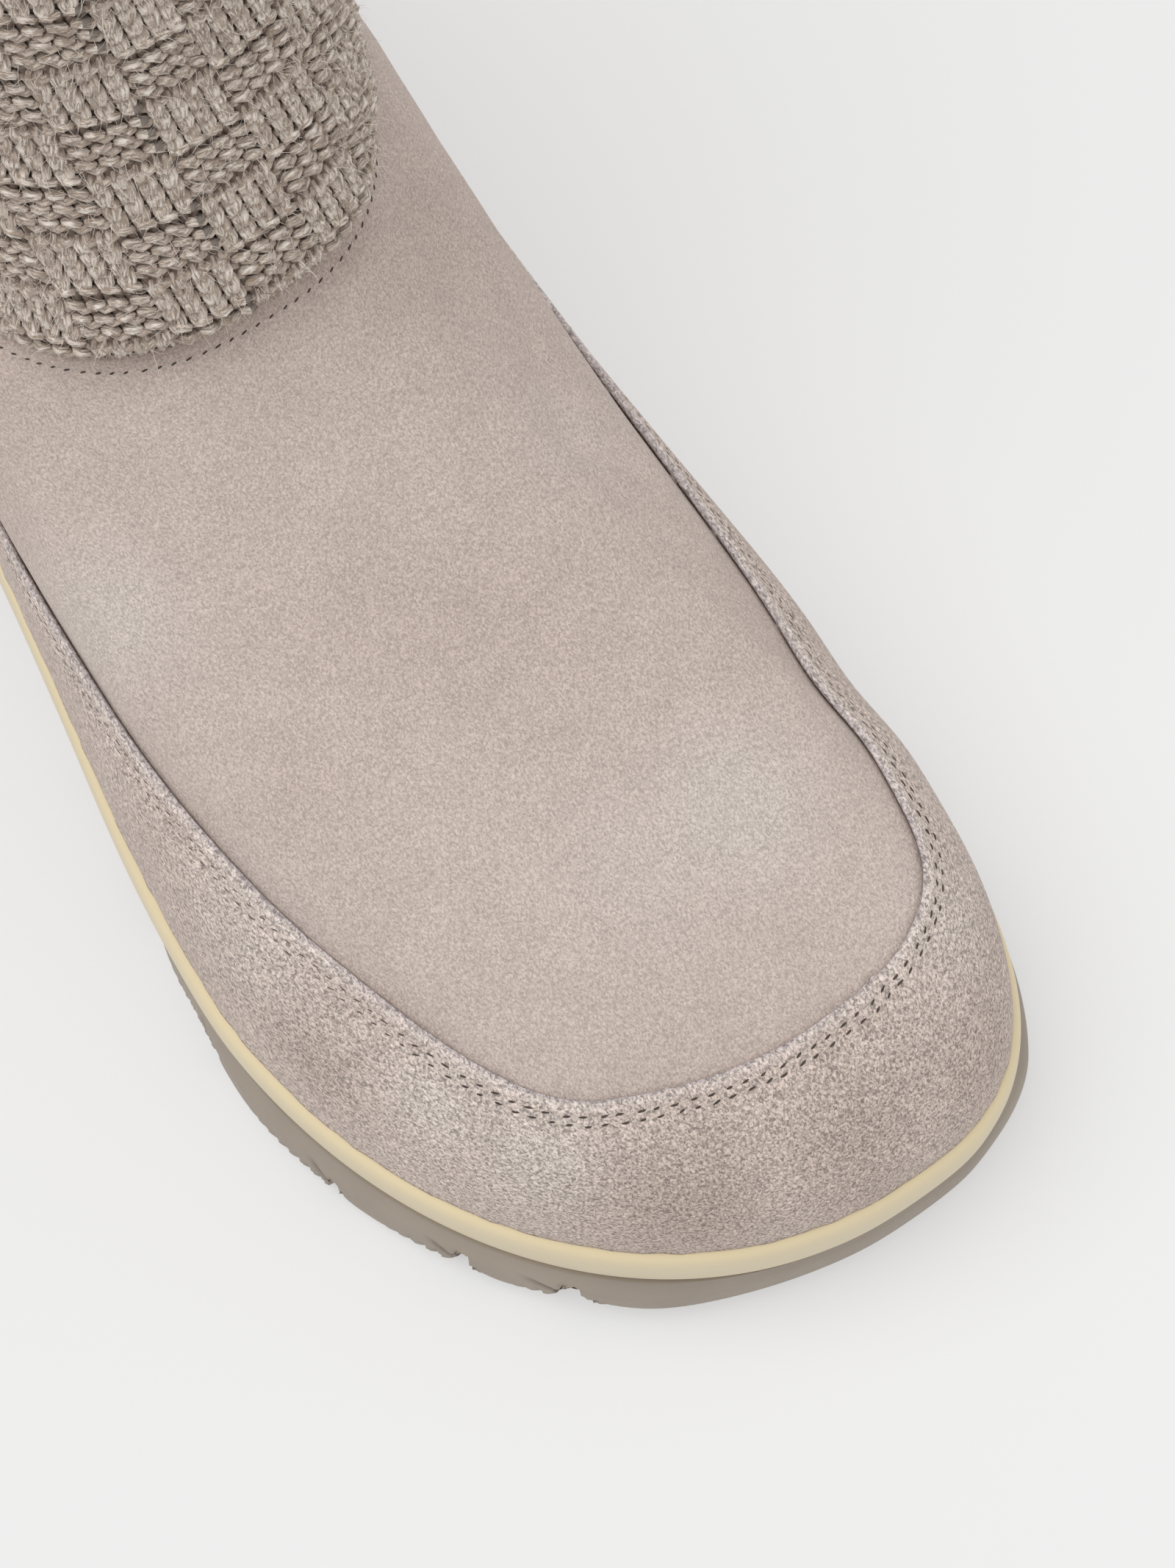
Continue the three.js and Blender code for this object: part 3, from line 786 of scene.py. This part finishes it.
def build_rand():
    """The suede band over the upper's foot, with a pale raw edge that touches the upper, a painted
    highlight on the edge's ridge and painted shade along its foot.
    """
    outer = surface(rand_outer, np.linspace(0, len(rand_outer) - 1, RAND_ROWS), fine_rounds)
    inner = surface(rand_inner, np.linspace(len(rand_inner) - 1, 0, RAND_INNER_ROWS), fine_rounds)
    out = normals(outer)
    up = lengths_up(outer)
    from_edge = up[-1] - up
    press = furrow(from_edge, RAND_STITCH_INSETS)
    lip = EDGE_BULGE * np.exp(-from_edge / EDGE_ROUND)
    reached = lengths_round(outer[0])[:-1]
    uneven = wander(reached, FOOT_WAVE) * np.exp(-up / FOOT_WAVE_REACH)
    shaped = outer - out * (press + lip - uneven)[..., None]
    rise = unit(outer[-1] - outer[-2])
    shaped[-1] += rise * wander(lengths_round(outer[-1])[:-1], EDGE_WAVE)[:, None]
    edge = rolled_edge(shaped[-1], inner[0], rise, EDGE_ROWS, EDGE_BULGE)
    contact = surface(skin_outer, np.array([float(RAND_EDGE_ROW)]), fine_rounds) - UNDERCUT * rise
    grid = np.concatenate([shaped, edge, contact, inner])
    contact_row = len(shaped) + len(edge)
    # Pale cut fibres near the edge, with a painted highlight on the ridge
    raw = np.zeros(grid.shape[:2])
    raw[:len(shaped)] = 0.65 * smooth(1.5 - from_edge / RAW_WIDTH)
    cut = np.zeros(grid.shape[:2])
    cut[len(shaped):contact_row + 1] = 0.9
    brushed_nap_and_highlight = np.zeros(grid.shape[:2])
    brushed_nap_and_highlight[:len(outer)] = patch_share(outer, BRUSHED_NAP_AND_PAINTED_HIGHLIGHT)
    # Painted shade: the laid nap patches, and a dark line along the foot where the rand meets the cream
    # band
    deep = np.zeros(grid.shape[:2])
    deep[:len(outer)] = np.maximum(patch_share(outer, LAID_NAP_AND_PAINTED_SHADE), 0.6 * np.exp(-up / 0.5))
    make_piece(
        "rand_skin", grid, sheet_faces(len(grid), grid.shape[1], True), rand_suede,
        ("rand",), values={"brushed_nap_and_highlight": brushed_nap_and_highlight, "deep": deep, "raw": raw, "cut": cut},
    )
    return shaped, out


# Stitches along a line of the surface

# A stitch is a needle slot of painted shade, then a pale bit of thread: places and spans are shares
# of its length, lifts and thicknesses shares of the seam's thickness
STITCH_PARTS = (
    {"name": "slot_shades", "middle": 0.0, "span": 0.38, "lift": 0.02, "thick": 1.0, "made_of": needle_hole_shade},
    {"name": "threads", "middle": 0.5, "span": 0.32, "lift": 0.05, "thick": 0.7, "made_of": thread_light},
)


def line_at_inset(grid, out, inset):
    """Points and normals of the line that lies at a distance below a grid's top edge."""
    from_edge = lengths_up(grid)[-1] - lengths_up(grid)
    points = []
    directions = []
    for k in range(grid.shape[1]):
        distance = from_edge[::-1, k]
        points.append([np.interp(inset, distance, grid[::-1, k, c]) for c in range(3)])
        directions.append([np.interp(inset, distance, out[::-1, k, c]) for c in range(3)])
    return np.array(points), unit(np.array(directions))


def along_line(points, directions, distances):
    """Points and normals at distances along a closed line."""
    reached = lengths_round(points)
    closed_points = np.vstack([points, points[:1]])
    closed_directions = np.vstack([directions, directions[:1]])
    distances = np.mod(distances, reached[-1])
    place, facing = (
        np.stack([np.interp(distances, reached, values[:, c]) for c in range(3)], axis=-1)
        for values in (closed_points, closed_directions)
    )
    return place, unit(facing)


def build_stitches(name, seam, size, seed):
    """A seam of sunken stitches, each a little uneven."""
    points, directions = seam
    length = lengths_round(points)[-1]
    count = int(length / size["pitch"])
    step = length / count
    chance = np.random.default_rng(seed)
    starts = np.arange(count) * step + chance.uniform(-0.12, 0.12, count) * size["pitch"]
    for part in STITCH_PARTS:
        spans = part["span"] * chance.uniform(0.8, 1.2, count)
        ways = np.linspace(-0.5, 0.5, 5)
        distances = starts[:, None] + (part["middle"] + ways[None, :] * spans[:, None]) * step
        place, facing = along_line(points, directions, distances)
        run = unit(np.gradient(place, axis=1))
        aside = np.cross(facing, run)
        slant = size["slant"] * ways[None, :] + chance.uniform(-0.1, 0.1, (count, 1)) * size["slant"]
        place = place + facing * part["lift"] * size["thick"] + aside * slant[..., None]
        fade = smooth((STITCH_FADE_TO - place[:, :1, 1]) / (STITCH_FADE_TO - STITCH_FADE_FROM))
        fade = FADED_STITCH + (1 - FADED_STITCH) * fade if size["fades"] else 1 + 0 * fade
        radius = size["thick"] * part["thick"] * fade * np.sqrt(1 - (1.8 * ways) ** 2)
        tube, faces = tubes(place, facing, radius, 6, False)
        make_piece(f"{name}_{part['name']}", tube, faces, part["made_of"])


def ribbons(centres, normal, width):
    """Flat tapered fibres along lines of points."""
    side = unit(np.cross(unit(np.gradient(centres, axis=1)), normal))
    taper = np.linspace(1, 0.25, centres.shape[1])[None, :, None]
    reach = side * taper * width / 2
    points = np.stack([centres - reach, centres + reach], axis=2)
    lines, count = centres.shape[:2]
    start = (np.arange(lines)[:, None] * count + np.arange(count - 1)) * 2
    faces = np.stack([start, start + 1, start + 3, start + 2], axis=-1).reshape(-1, 4)
    return points, faces


def hairs(name, roots, facing, tangent, lengths, kind, seed):
    """Loose fibres that rise from a surface, bend over and lie along it again."""
    chance = np.random.default_rng(seed)
    count = len(roots)
    sideways = np.cross(facing, tangent)
    turn = chance.normal(0, 0.5, count)
    sense = np.where(chance.uniform(size=count) < 0.5, -1, 1)
    run = sense[:, None] * (tangent * np.cos(turn)[:, None] + sideways * np.sin(turn)[:, None])
    rise = chance.uniform(*kind["lift"], count)[:, None]
    curl = chance.normal(0, 0.5, count)[:, None]
    way = np.linspace(0, 1, 4)[None, :, None]
    reach = lengths[:, None, None] * way
    centres = (
        roots[:, None] + run[:, None] * reach
        + facing[:, None] * (rise[:, None] * reach * (1.4 - way))
        + np.cross(facing, run)[:, None] * (curl[:, None] * reach * way)
    )
    points, faces = ribbons(centres, facing[:, None], kind["width"])
    make_piece(name, points, faces, fibre_light)


# Knit

def wale_places(ring_points):
    """Column places of the wales, evenly spaced round a ring."""
    reached = lengths_round(ring_points)
    places = np.append(fine_rounds, COLUMNS)
    return np.interp(np.linspace(0, reached[-1], WALE_READINGS), reached, places)


def build_shaft():
    """The knit: one closed yarn a row, with its loops in front in a rib and behind in a purl."""
    top = len(shaft_outer) - 1
    ups = np.linspace(KNIT_START, top, KNIT_LEVELS)
    columns = surface(shaft_outer, ups, fine_rounds)
    out = normals(columns)
    reached = lengths_up(columns)
    even_places = wale_places(columns[WALE_RING])
    around = np.linspace(0, 1, len(even_places))
    count = WALES * STITCH_POINTS
    position = np.arange(count) / STITCH_POINTS
    turn = 2 * math.pi * (position % 1)
    wale = np.floor(position + 0.5).astype(int) % WALES
    chance = np.random.default_rng(11)
    lines = []
    facings = []
    prouds = []
    for row in range(ROWS):
        knit = ((wale // BLOCK + row // BLOCK) % 2).astype(float) * 2 - 1
        knit = (2 * knit + np.roll(knit, 1) + np.roll(knit, -1)) / 4
        sway = LOOP_SWAY * np.sin(2 * turn) - RIB_SQUEEZE * np.sin(turn) * (knit > 0)
        sway += ROW_LEAN * row
        rounds = np.interp(((position + sway) / WALES) % 1, around, even_places)
        fine_index = (rounds * FINE) % (COLUMNS * FINE)
        left = np.floor(fine_index).astype(int) % (COLUMNS * FINE)
        right = (left + 1) % (COLUMNS * FINE)
        part = (fine_index % 1)[:, None]
        loose = np.repeat(chance.normal(0, LOOSENESS, WALES), STITCH_POINTS)
        purl = (1 - knit) / 2
        flat = np.tanh(PURL_FLAT * np.cos(turn)) / math.tanh(PURL_FLAT)
        wave = np.cos(turn) * (1 - purl) + flat * purl
        tilt = PURL_TILT * np.sin(2 * turn) * purl
        height = (row + 0.75 + 0.5 * LOOP_HEIGHT * wave + tilt + loose) / (ROWS + 0.5)
        height = np.clip(height, 0, 1)
        dip = SINKER_DIP * purl * (1 - np.cos(turn)) / 2
        depth = -LOOP_DEPTH * np.cos(2 * turn) * knit - BLOCK_RELIEF * (1 - purl) - dip
        line = np.zeros((count, 3))
        facing = np.zeros((count, 3))
        for index, share in ((left, 1 - part), (right, part)):
            wanted = height * reached[-1, index]
            level = np.array([
                np.interp(want, reached[:, i], np.arange(len(ups))) for want, i in zip(wanted, index)
            ])
            low = np.clip(np.floor(level).astype(int), 0, len(ups) - 2)
            bit = (level - low)[:, None]
            line += share * (columns[low, index] * (1 - bit) + columns[low + 1, index] * bit)
            facing += share * (out[low, index] * (1 - bit) + out[low + 1, index] * bit)
        facing = unit(facing)
        lines.append(line + facing * (depth - YARN_RADIUS)[:, None])
        facings.append(facing)
        # How proud the yarn stands: the wool paints shade where it is low and a highlight where it is
        # high
        prouds.append(0.5 - 0.5 * np.cos(2 * turn) * knit - dip)
    lines = np.array(lines)
    facings = np.array(facings)
    prouds = np.array(prouds)
    for i in range(KNIT_PARTS):
        some = slice(i * ROWS // KNIT_PARTS, (i + 1) * ROWS // KNIT_PARTS)
        points, faces = tubes(lines[some], facings[some], YARN_RADIUS, YARN_SIDES, True)
        run = np.linalg.norm(np.roll(lines[some], -1, axis=1) - lines[some], axis=2).cumsum(axis=1)
        uvs = np.zeros(points.shape[:3] + (2,))
        uvs[..., 0] = run[:, :, None] + YARN_SHIFT * np.arange(points.shape[0])[:, None, None]
        uvs[..., 1] = np.abs(np.arange(YARN_SIDES) - YARN_SIDES / 2)[None, None, :] / YARN_SIDES
        proud = prouds[some, :, None] * np.ones(YARN_SIDES)
        make_piece(
            f"shaft_knit_{i + 1}", points, faces, wool, ("shaft",) if i == 0 else (),
            uvs=uvs, values={"proud": proud},
        )
    return lines, facings


def build_fuzz(lines, facings):
    """Loose wool fibres over the knit."""
    chance = np.random.default_rng(23)
    row = chance.integers(0, lines.shape[0], FUZZ["count"])
    step = chance.integers(0, lines.shape[1], FUZZ["count"])
    tangent = unit(np.roll(lines, -1, axis=1) - np.roll(lines, 1, axis=1))[row, step]
    facing = facings[row, step]
    aside = np.cross(facing, tangent) * chance.uniform(-0.6, 0.6, FUZZ["count"])[:, None]
    roots = lines[row, step] + (facing * 0.8 + aside) * YARN_RADIUS
    lengths = chance.uniform(*FUZZ["lengths"], FUZZ["count"])
    hairs("shaft_fuzz", roots, facing, tangent, lengths, FUZZ, 24)


def build_backing():
    """Dense inside of the knit, behind the yarns, with a plain rim."""
    top = len(shaft_outer) - 1
    some = fine_rounds[::2]
    outer = surface(shaft_outer, np.linspace(0, top, BACKING_ROWS), some)
    inner = surface(shaft_inner, np.linspace(top, 0, BACKING_INNER_ROWS), some)
    out = normals(outer)
    back = np.clip(lengths_up(outer) / BACKING_TAPER, 0, 1) * BACKING_DEPTH
    outer = outer - out * back[..., None]
    rise = unit(outer[-1] - outer[-2])
    edge = rolled_edge(outer[-1], inner[0], rise, EDGE_ROWS, -0.2)
    grid = np.concatenate([outer, edge, inner])
    faces = sheet_faces(len(grid), grid.shape[1], True)
    make_piece("shaft_backing", grid, faces, backing_cloth)


# Sole

def spine(ring_points):
    """The middle line of a ring, point for point with the ring."""
    return (ring_points + np.roll(ring_points[::-1], 1, axis=0)) / 2


def with_caps(grid):
    """Closes the foot and the top of a stack of rings with a middle line."""
    return np.concatenate([[spine(grid[0])], grid, [spine(grid[-1])]])


def build_midsole():
    """The cream band."""
    grid = surface(midsole_rings, np.linspace(0, len(midsole_rings) - 1, MIDSOLE_ROWS), fine_rounds)
    height = np.linspace(0, 1, len(grid))[:, None] * np.ones(grid.shape[:2])
    tone = smooth((height - CREAM_FADE_FROM) / CREAM_FADE)
    height = np.concatenate([height[:1], tone, height[-1:]])
    grid = with_caps(grid)
    faces = sheet_faces(len(grid), grid.shape[1])
    make_piece(
        "midsole_band", grid, faces, cream_foam, ("midsole",), values={"height": height},
    )


# Outsole's side: height share, flare share and how far it draws in under the cream band
OUTSOLE_SIDE = np.array([
    (0.00, 0.50, 0.0), (0.03, 0.72, 0.0), (0.08, 0.88, 0.0), (0.15, 0.97, 0.0), (0.22, 1.00, 0.0),
    (0.34, 0.98, 0.0), (0.46, 0.93, 0.0), (0.56, 0.88, 0.0), (0.64, 0.82, 0.1), (0.72, 0.70, 0.2),
    (0.79, 0.52, 0.4), (0.85, 0.36, 0.6), (0.91, 0.28, 0.8), (0.96, 0.25, 0.8), (1.00, 0.25, 0.6),
])


def underside(along):
    """Height of the outsole's underside: toe spring, flats, arch and heel bevel."""
    spring = TOE_SPRING * np.clip(1 - along / SPRING_LENGTH, 0, 1) ** SPRING_CURVE
    arch = ARCH_RISE * np.sin(math.pi * np.clip((along - ARCH_FROM) / (ARCH_TO - ARCH_FROM), 0, 1)) ** 2
    bevel = np.clip((along - SOLE_LENGTH + HEEL_BEVEL_LENGTH) / HEEL_BEVEL_LENGTH, 0, 1)
    return spring + arch + HEEL_BEVEL_RISE * bevel ** 2


def sole_flare(along):
    """How far the outsole stands out of the midsole, less than nothing at the waist."""
    front = TOE_FLARE + (FOREFOOT_FLARE - TOE_FLARE) * smooth(along / TOE_FLARE_LENGTH)
    fade = smooth((FLARE_END_ALONG - along) / FLARE_FADE)
    tuck = smooth((along - FLARE_END_ALONG) / FLARE_FADE)
    heel = smooth((along - HEEL_FLARE_ALONG + FLARE_FADE) / FLARE_FADE)
    return front * fade - WAIST_TUCK * tuck * (1 - heel) + HEEL_FLARE * heel


def groove_lift(side, along, height, width):
    """How far the grooves, of a width given ring by ring, raise the underside at each point."""
    lift = np.zeros_like(height)
    aside = np.abs(side)
    for starts in (FOREFOOT_GROOVES, HEEL_GROOVES):
        for start in starts:
            middle = start * SOLE_LENGTH
            off = np.abs((along - middle) * math.cos(GROOVE_SLANT) - aside * math.sin(GROOVE_SLANT))
            share = np.clip((width[:, None] / 2 - off) / GROOVE_ROUND + 0.5, 0, 1)
            roof = underside(np.array(middle)) + GROOVE_DEPTH
            lift = np.maximum(lift, share * (roof - height))
        ends = np.array(starts)[[0, -1]] * SOLE_LENGTH
        past_end = np.abs(along - ends.mean()) - np.ptp(ends) / 2
        off = np.maximum(aside - CENTRE_GROOVE_WIDTH / 2, past_end)
        lift = np.maximum(lift, np.clip(0.5 - off / GROOVE_ROUND, 0, 1) * (GROOVE_DEPTH - height))
    return lift


def edge_cuts(side, along, run, share):
    """How deep the edge's teeth and the slits at the grooves' ends cut in, and how much painted shade
    lies in them.
    """
    middle = np.array(FOREFOOT_GROOVES + HEEL_GROOVES) * SOLE_LENGTH
    exits = middle[:, None] + np.abs(side)[None, :] * math.tan(GROOVE_SLANT)
    front = np.where(exits <= along, exits, -1e3).max(axis=0)
    behind = np.where(exits > along, exits, 1e3).min(axis=0)
    way = np.clip((behind - along) / np.maximum(behind - front, 1), 0, 1)
    after = ((run - TOOTH_SLANT * share) / TOOTH_PITCH) % 1
    size = np.clip((TOOTH_TOP - share) / TOOTH_FADE, 0, 1) * (along < ARCH_FROM)
    size = size * smooth((way - TEETH_FROM) / TEETH_OVER)
    off = np.abs(exits - along + LEAF_SLANT * (share - LEAF_MIDDLE)).min(axis=0)
    slit = np.exp(-(off / LEAF_WIDTH) ** 2) * smooth((LEAF_TOP - share) / LEAF_FADE)
    depth = np.maximum(TOOTH_DEPTH * size * (1 - after) ** TOOTH_CURVE, LEAF_DEPTH * slit)
    return depth, np.maximum(size * smooth((TOOTH_DARK - after) / TOOTH_DARK_FADE), slit)


def end_roofs(sides, lifted):
    """Spreads the lifted rows of the side, so that a groove's roof ends where the side stands on it."""
    count = lifted.sum(axis=0)
    for k in np.flatnonzero(count):
        ways = np.arange(count[k])[:, None] / count[k]
        sides[:count[k], k, :2] = sides[0, k, :2] * (1 - ways) + sides[count[k], k, :2] * ways


def build_outsole():
    """The rubber sole: its side, cut along the foot, and its underside with the grooves."""
    rounds = np.arange(COLUMNS * SOLE_FINE) / SOLE_FINE
    line = surface(midsole_rings, np.array([1.0]), rounds)[0]
    top = surface(midsole_rings, np.array([0.0]), rounds)[0][:, 2] - SEAT_GAP
    tip = midsole_rings[1][TOE_COLUMN]
    shift = np.array([tip[0] - TOE_TIP_SIDE, tip[1], 0])
    run = np.roll(line, -1, axis=0) - np.roll(line, 1, axis=0)
    out = unit(np.stack([-run[:, 1], run[:, 0], 0 * run[:, 0]], axis=-1))
    along = line[:, 1] - shift[1]
    side = line[:, 0] - shift[0]
    flare = sole_flare(along)
    reached = lengths_round(line)
    from_toe = np.minimum(reached, reached[-1] - reached)[:-1]
    sides = []
    cut_shades = []
    for share in np.append(np.arange(0, SIDE_STEPS_END, SIDE_STEP), OUTSOLE_SIDE[-4:, 0]):
        flared = np.interp(share, OUTSOLE_SIDE[:, 0], OUTSOLE_SIDE[:, 1])
        drawn = np.interp(share, OUTSOLE_SIDE[:, 0], OUTSOLE_SIDE[:, 2])
        depth, dark = edge_cuts(side, along, from_toe, share)
        stand = np.where(flare > 0, flare * flared, flare) - drawn - depth
        stand -= FOOT_DRAW * max(0, 1 - share / FOOT_DRAW_TOP) ** 2
        cut_shades.append(dark)
        ring_points = line + out * stand[:, None]
        ring_points[:, 2] = underside(along) * (1 - share) + top * share
        sides.append(ring_points)
    middle = spine(sides[0])
    bottoms = []
    for share in np.linspace(0, 1, BOTTOM_ROWS + 1)[:-1]:
        ring_points = middle + (sides[0] - middle) * share
        ring_points[:, 2] = underside(ring_points[:, 1] - shift[1])
        bottoms.append(ring_points)
    grid = np.array(bottoms + sides)
    width = np.full(len(grid), float(GROOVE_WIDTH))
    width[len(bottoms):] = GROOVE_MOUTH
    lift = groove_lift(grid[..., 0] - shift[0], grid[..., 1] - shift[1], grid[..., 2], width)
    end_roofs(grid[len(bottoms):], lift[len(bottoms):] > 0.1)
    grid[..., 2] += np.maximum(lift, 0)
    grid = np.concatenate([grid, [spine(grid[-1])]])
    # Painted shade in the teeth and slits of the side
    deep = np.concatenate([np.zeros((len(bottoms), len(line))), cut_shades, np.zeros((1, len(line)))])
    faces = sheet_faces(len(grid), grid.shape[1])
    make_piece(
        "outsole_lugs", grid, faces, taupe_rubber, ("outsole",),
        values={"deep": deep}, crisp=True,
    )


def build_insole():
    """The footbed, a low dish on the inside of the upper's foot."""
    foot = surface(skin_inner, np.array([0.0]), fine_rounds)[0]
    middle = foot.mean(axis=0)
    rings = []
    away = unit((foot - middle) * np.array([1, FOOTBED_ASPECT, 0]))
    for ring in FOOTBED_RINGS:
        ring_points = foot - away * ring["inset"]
        ring_points[:, 2] = foot[:, 2] + ring["height"]
        rings.append(ring_points)
    grid = with_caps(np.array(rings))
    faces = sheet_faces(len(grid), grid.shape[1])
    make_piece("footbed", grid, faces, footbed_cloth, ("insole",))


upper_grid, upper_out = build_upper()
rand_grid, rand_out = build_rand()
knit_lines, knit_facings = build_shaft()
build_fuzz(knit_lines, knit_facings)
build_backing()
build_midsole()
build_outsole()
build_insole()

for number, inset in enumerate(RAND_STITCH_INSETS):
    seam = line_at_inset(rand_grid, rand_out, inset)
    build_stitches(f"rand_seam_{number + 1}", seam, RAND_STITCH, number)
seam = line_at_inset(upper_grid, upper_out, THROAT_STITCH_INSET)
build_stitches("throat_seam", seam, THROAT_STITCH, 5)


def build_edge_hairs():
    """Loose suede fibres along the rand's raw edge."""
    chance = np.random.default_rng(31)
    edge, edge_facing = line_at_inset(rand_grid, rand_out, EDGE_FIBRE_INSET)
    length = lengths_round(edge)[-1]
    distances = chance.uniform(0, length, EDGE_FIBRES["count"])
    roots, facing = along_line(edge, edge_facing, distances)
    ahead, _ = along_line(edge, rand_out[-1], distances + 0.5)
    tangent = unit(np.cross(unit(ahead - roots), facing) + 0.6 * unit(ahead - roots))
    lengths = chance.uniform(*EDGE_FIBRES["lengths"], EDGE_FIBRES["count"])
    hairs("rand_fibres", roots, facing, tangent, lengths, EDGE_FIBRES, 32)


build_edge_hairs()


# Floor, light and camera

def build_floor():
    """A pale floor that reaches past every view."""
    mesh = bpy.data.meshes.new("floor")
    size = FLOOR_HALF_METRES
    corners = [(-size, -size, 0), (size, -size, 0), (size, size, 0), (-size, size, 0)]
    mesh.from_pydata(corners, [], [(0, 1, 2, 3)])
    shading = Shading("floor_paint")
    patches = shading.stretch(shading.noise(3, 2), 0.3, 0.7)
    tone = shading.mix(patches, srgb(170, 170, 170), srgb(173, 173, 173))
    shading.set(shading.shader, "Base Color", tone)
    shading.set(shading.shader, "Emission Color", srgb(255, 255, 255))
    shading.set(shading.shader, "Emission Strength", FLOOR_GLOW)
    shading.set(shading.shader, "Roughness", 0.9)
    mesh.materials.append(shading.material)
    floor = bpy.data.objects.new("floor", mesh)
    bpy.context.scene.collection.objects.link(floor)


def add_sun(sun):
    """Even light from one side of the studio, softened over a wide angle."""
    data = bpy.data.lights.new(sun["name"], "SUN")
    data.angle = math.radians(sun["spread"])
    data.energy = sun["power"]
    light = bpy.data.objects.new(sun["name"], data)
    light.rotation_euler = Vector(sun["direction"]).to_track_quat("Z", "Y").to_euler()
    bpy.context.scene.collection.objects.link(light)


def build_camera():
    """The camera at the photograph's angle."""
    back = Vector((
        math.sin(CAMERA_AZIMUTH) * math.cos(CAMERA_ELEVATION),
        -math.cos(CAMERA_AZIMUTH) * math.cos(CAMERA_ELEVATION),
        math.sin(CAMERA_ELEVATION),
    ))
    data = bpy.data.cameras.new("camera")
    data.lens = CAMERA_LENS
    data.sensor_width = 36
    camera = bpy.data.objects.new("camera", data)
    camera.location = (Vector(LOOK_AT) + back * CAMERA_DISTANCE) * MM
    camera.rotation_euler = back.to_track_quat("Z", "Y").to_euler()
    bpy.context.scene.collection.objects.link(camera)
    bpy.context.scene.camera = camera


build_floor()
for sun in SUNS:
    add_sun(sun)
build_camera()

world = bpy.data.worlds.new("studio")
world.use_nodes = True
world.node_tree.nodes["Background"].inputs["Color"].default_value = (1, 1, 1, 1)
world.node_tree.nodes["Background"].inputs["Strength"].default_value = SKY
bpy.context.scene.world = world
bpy.context.scene.view_settings.view_transform = "Standard"
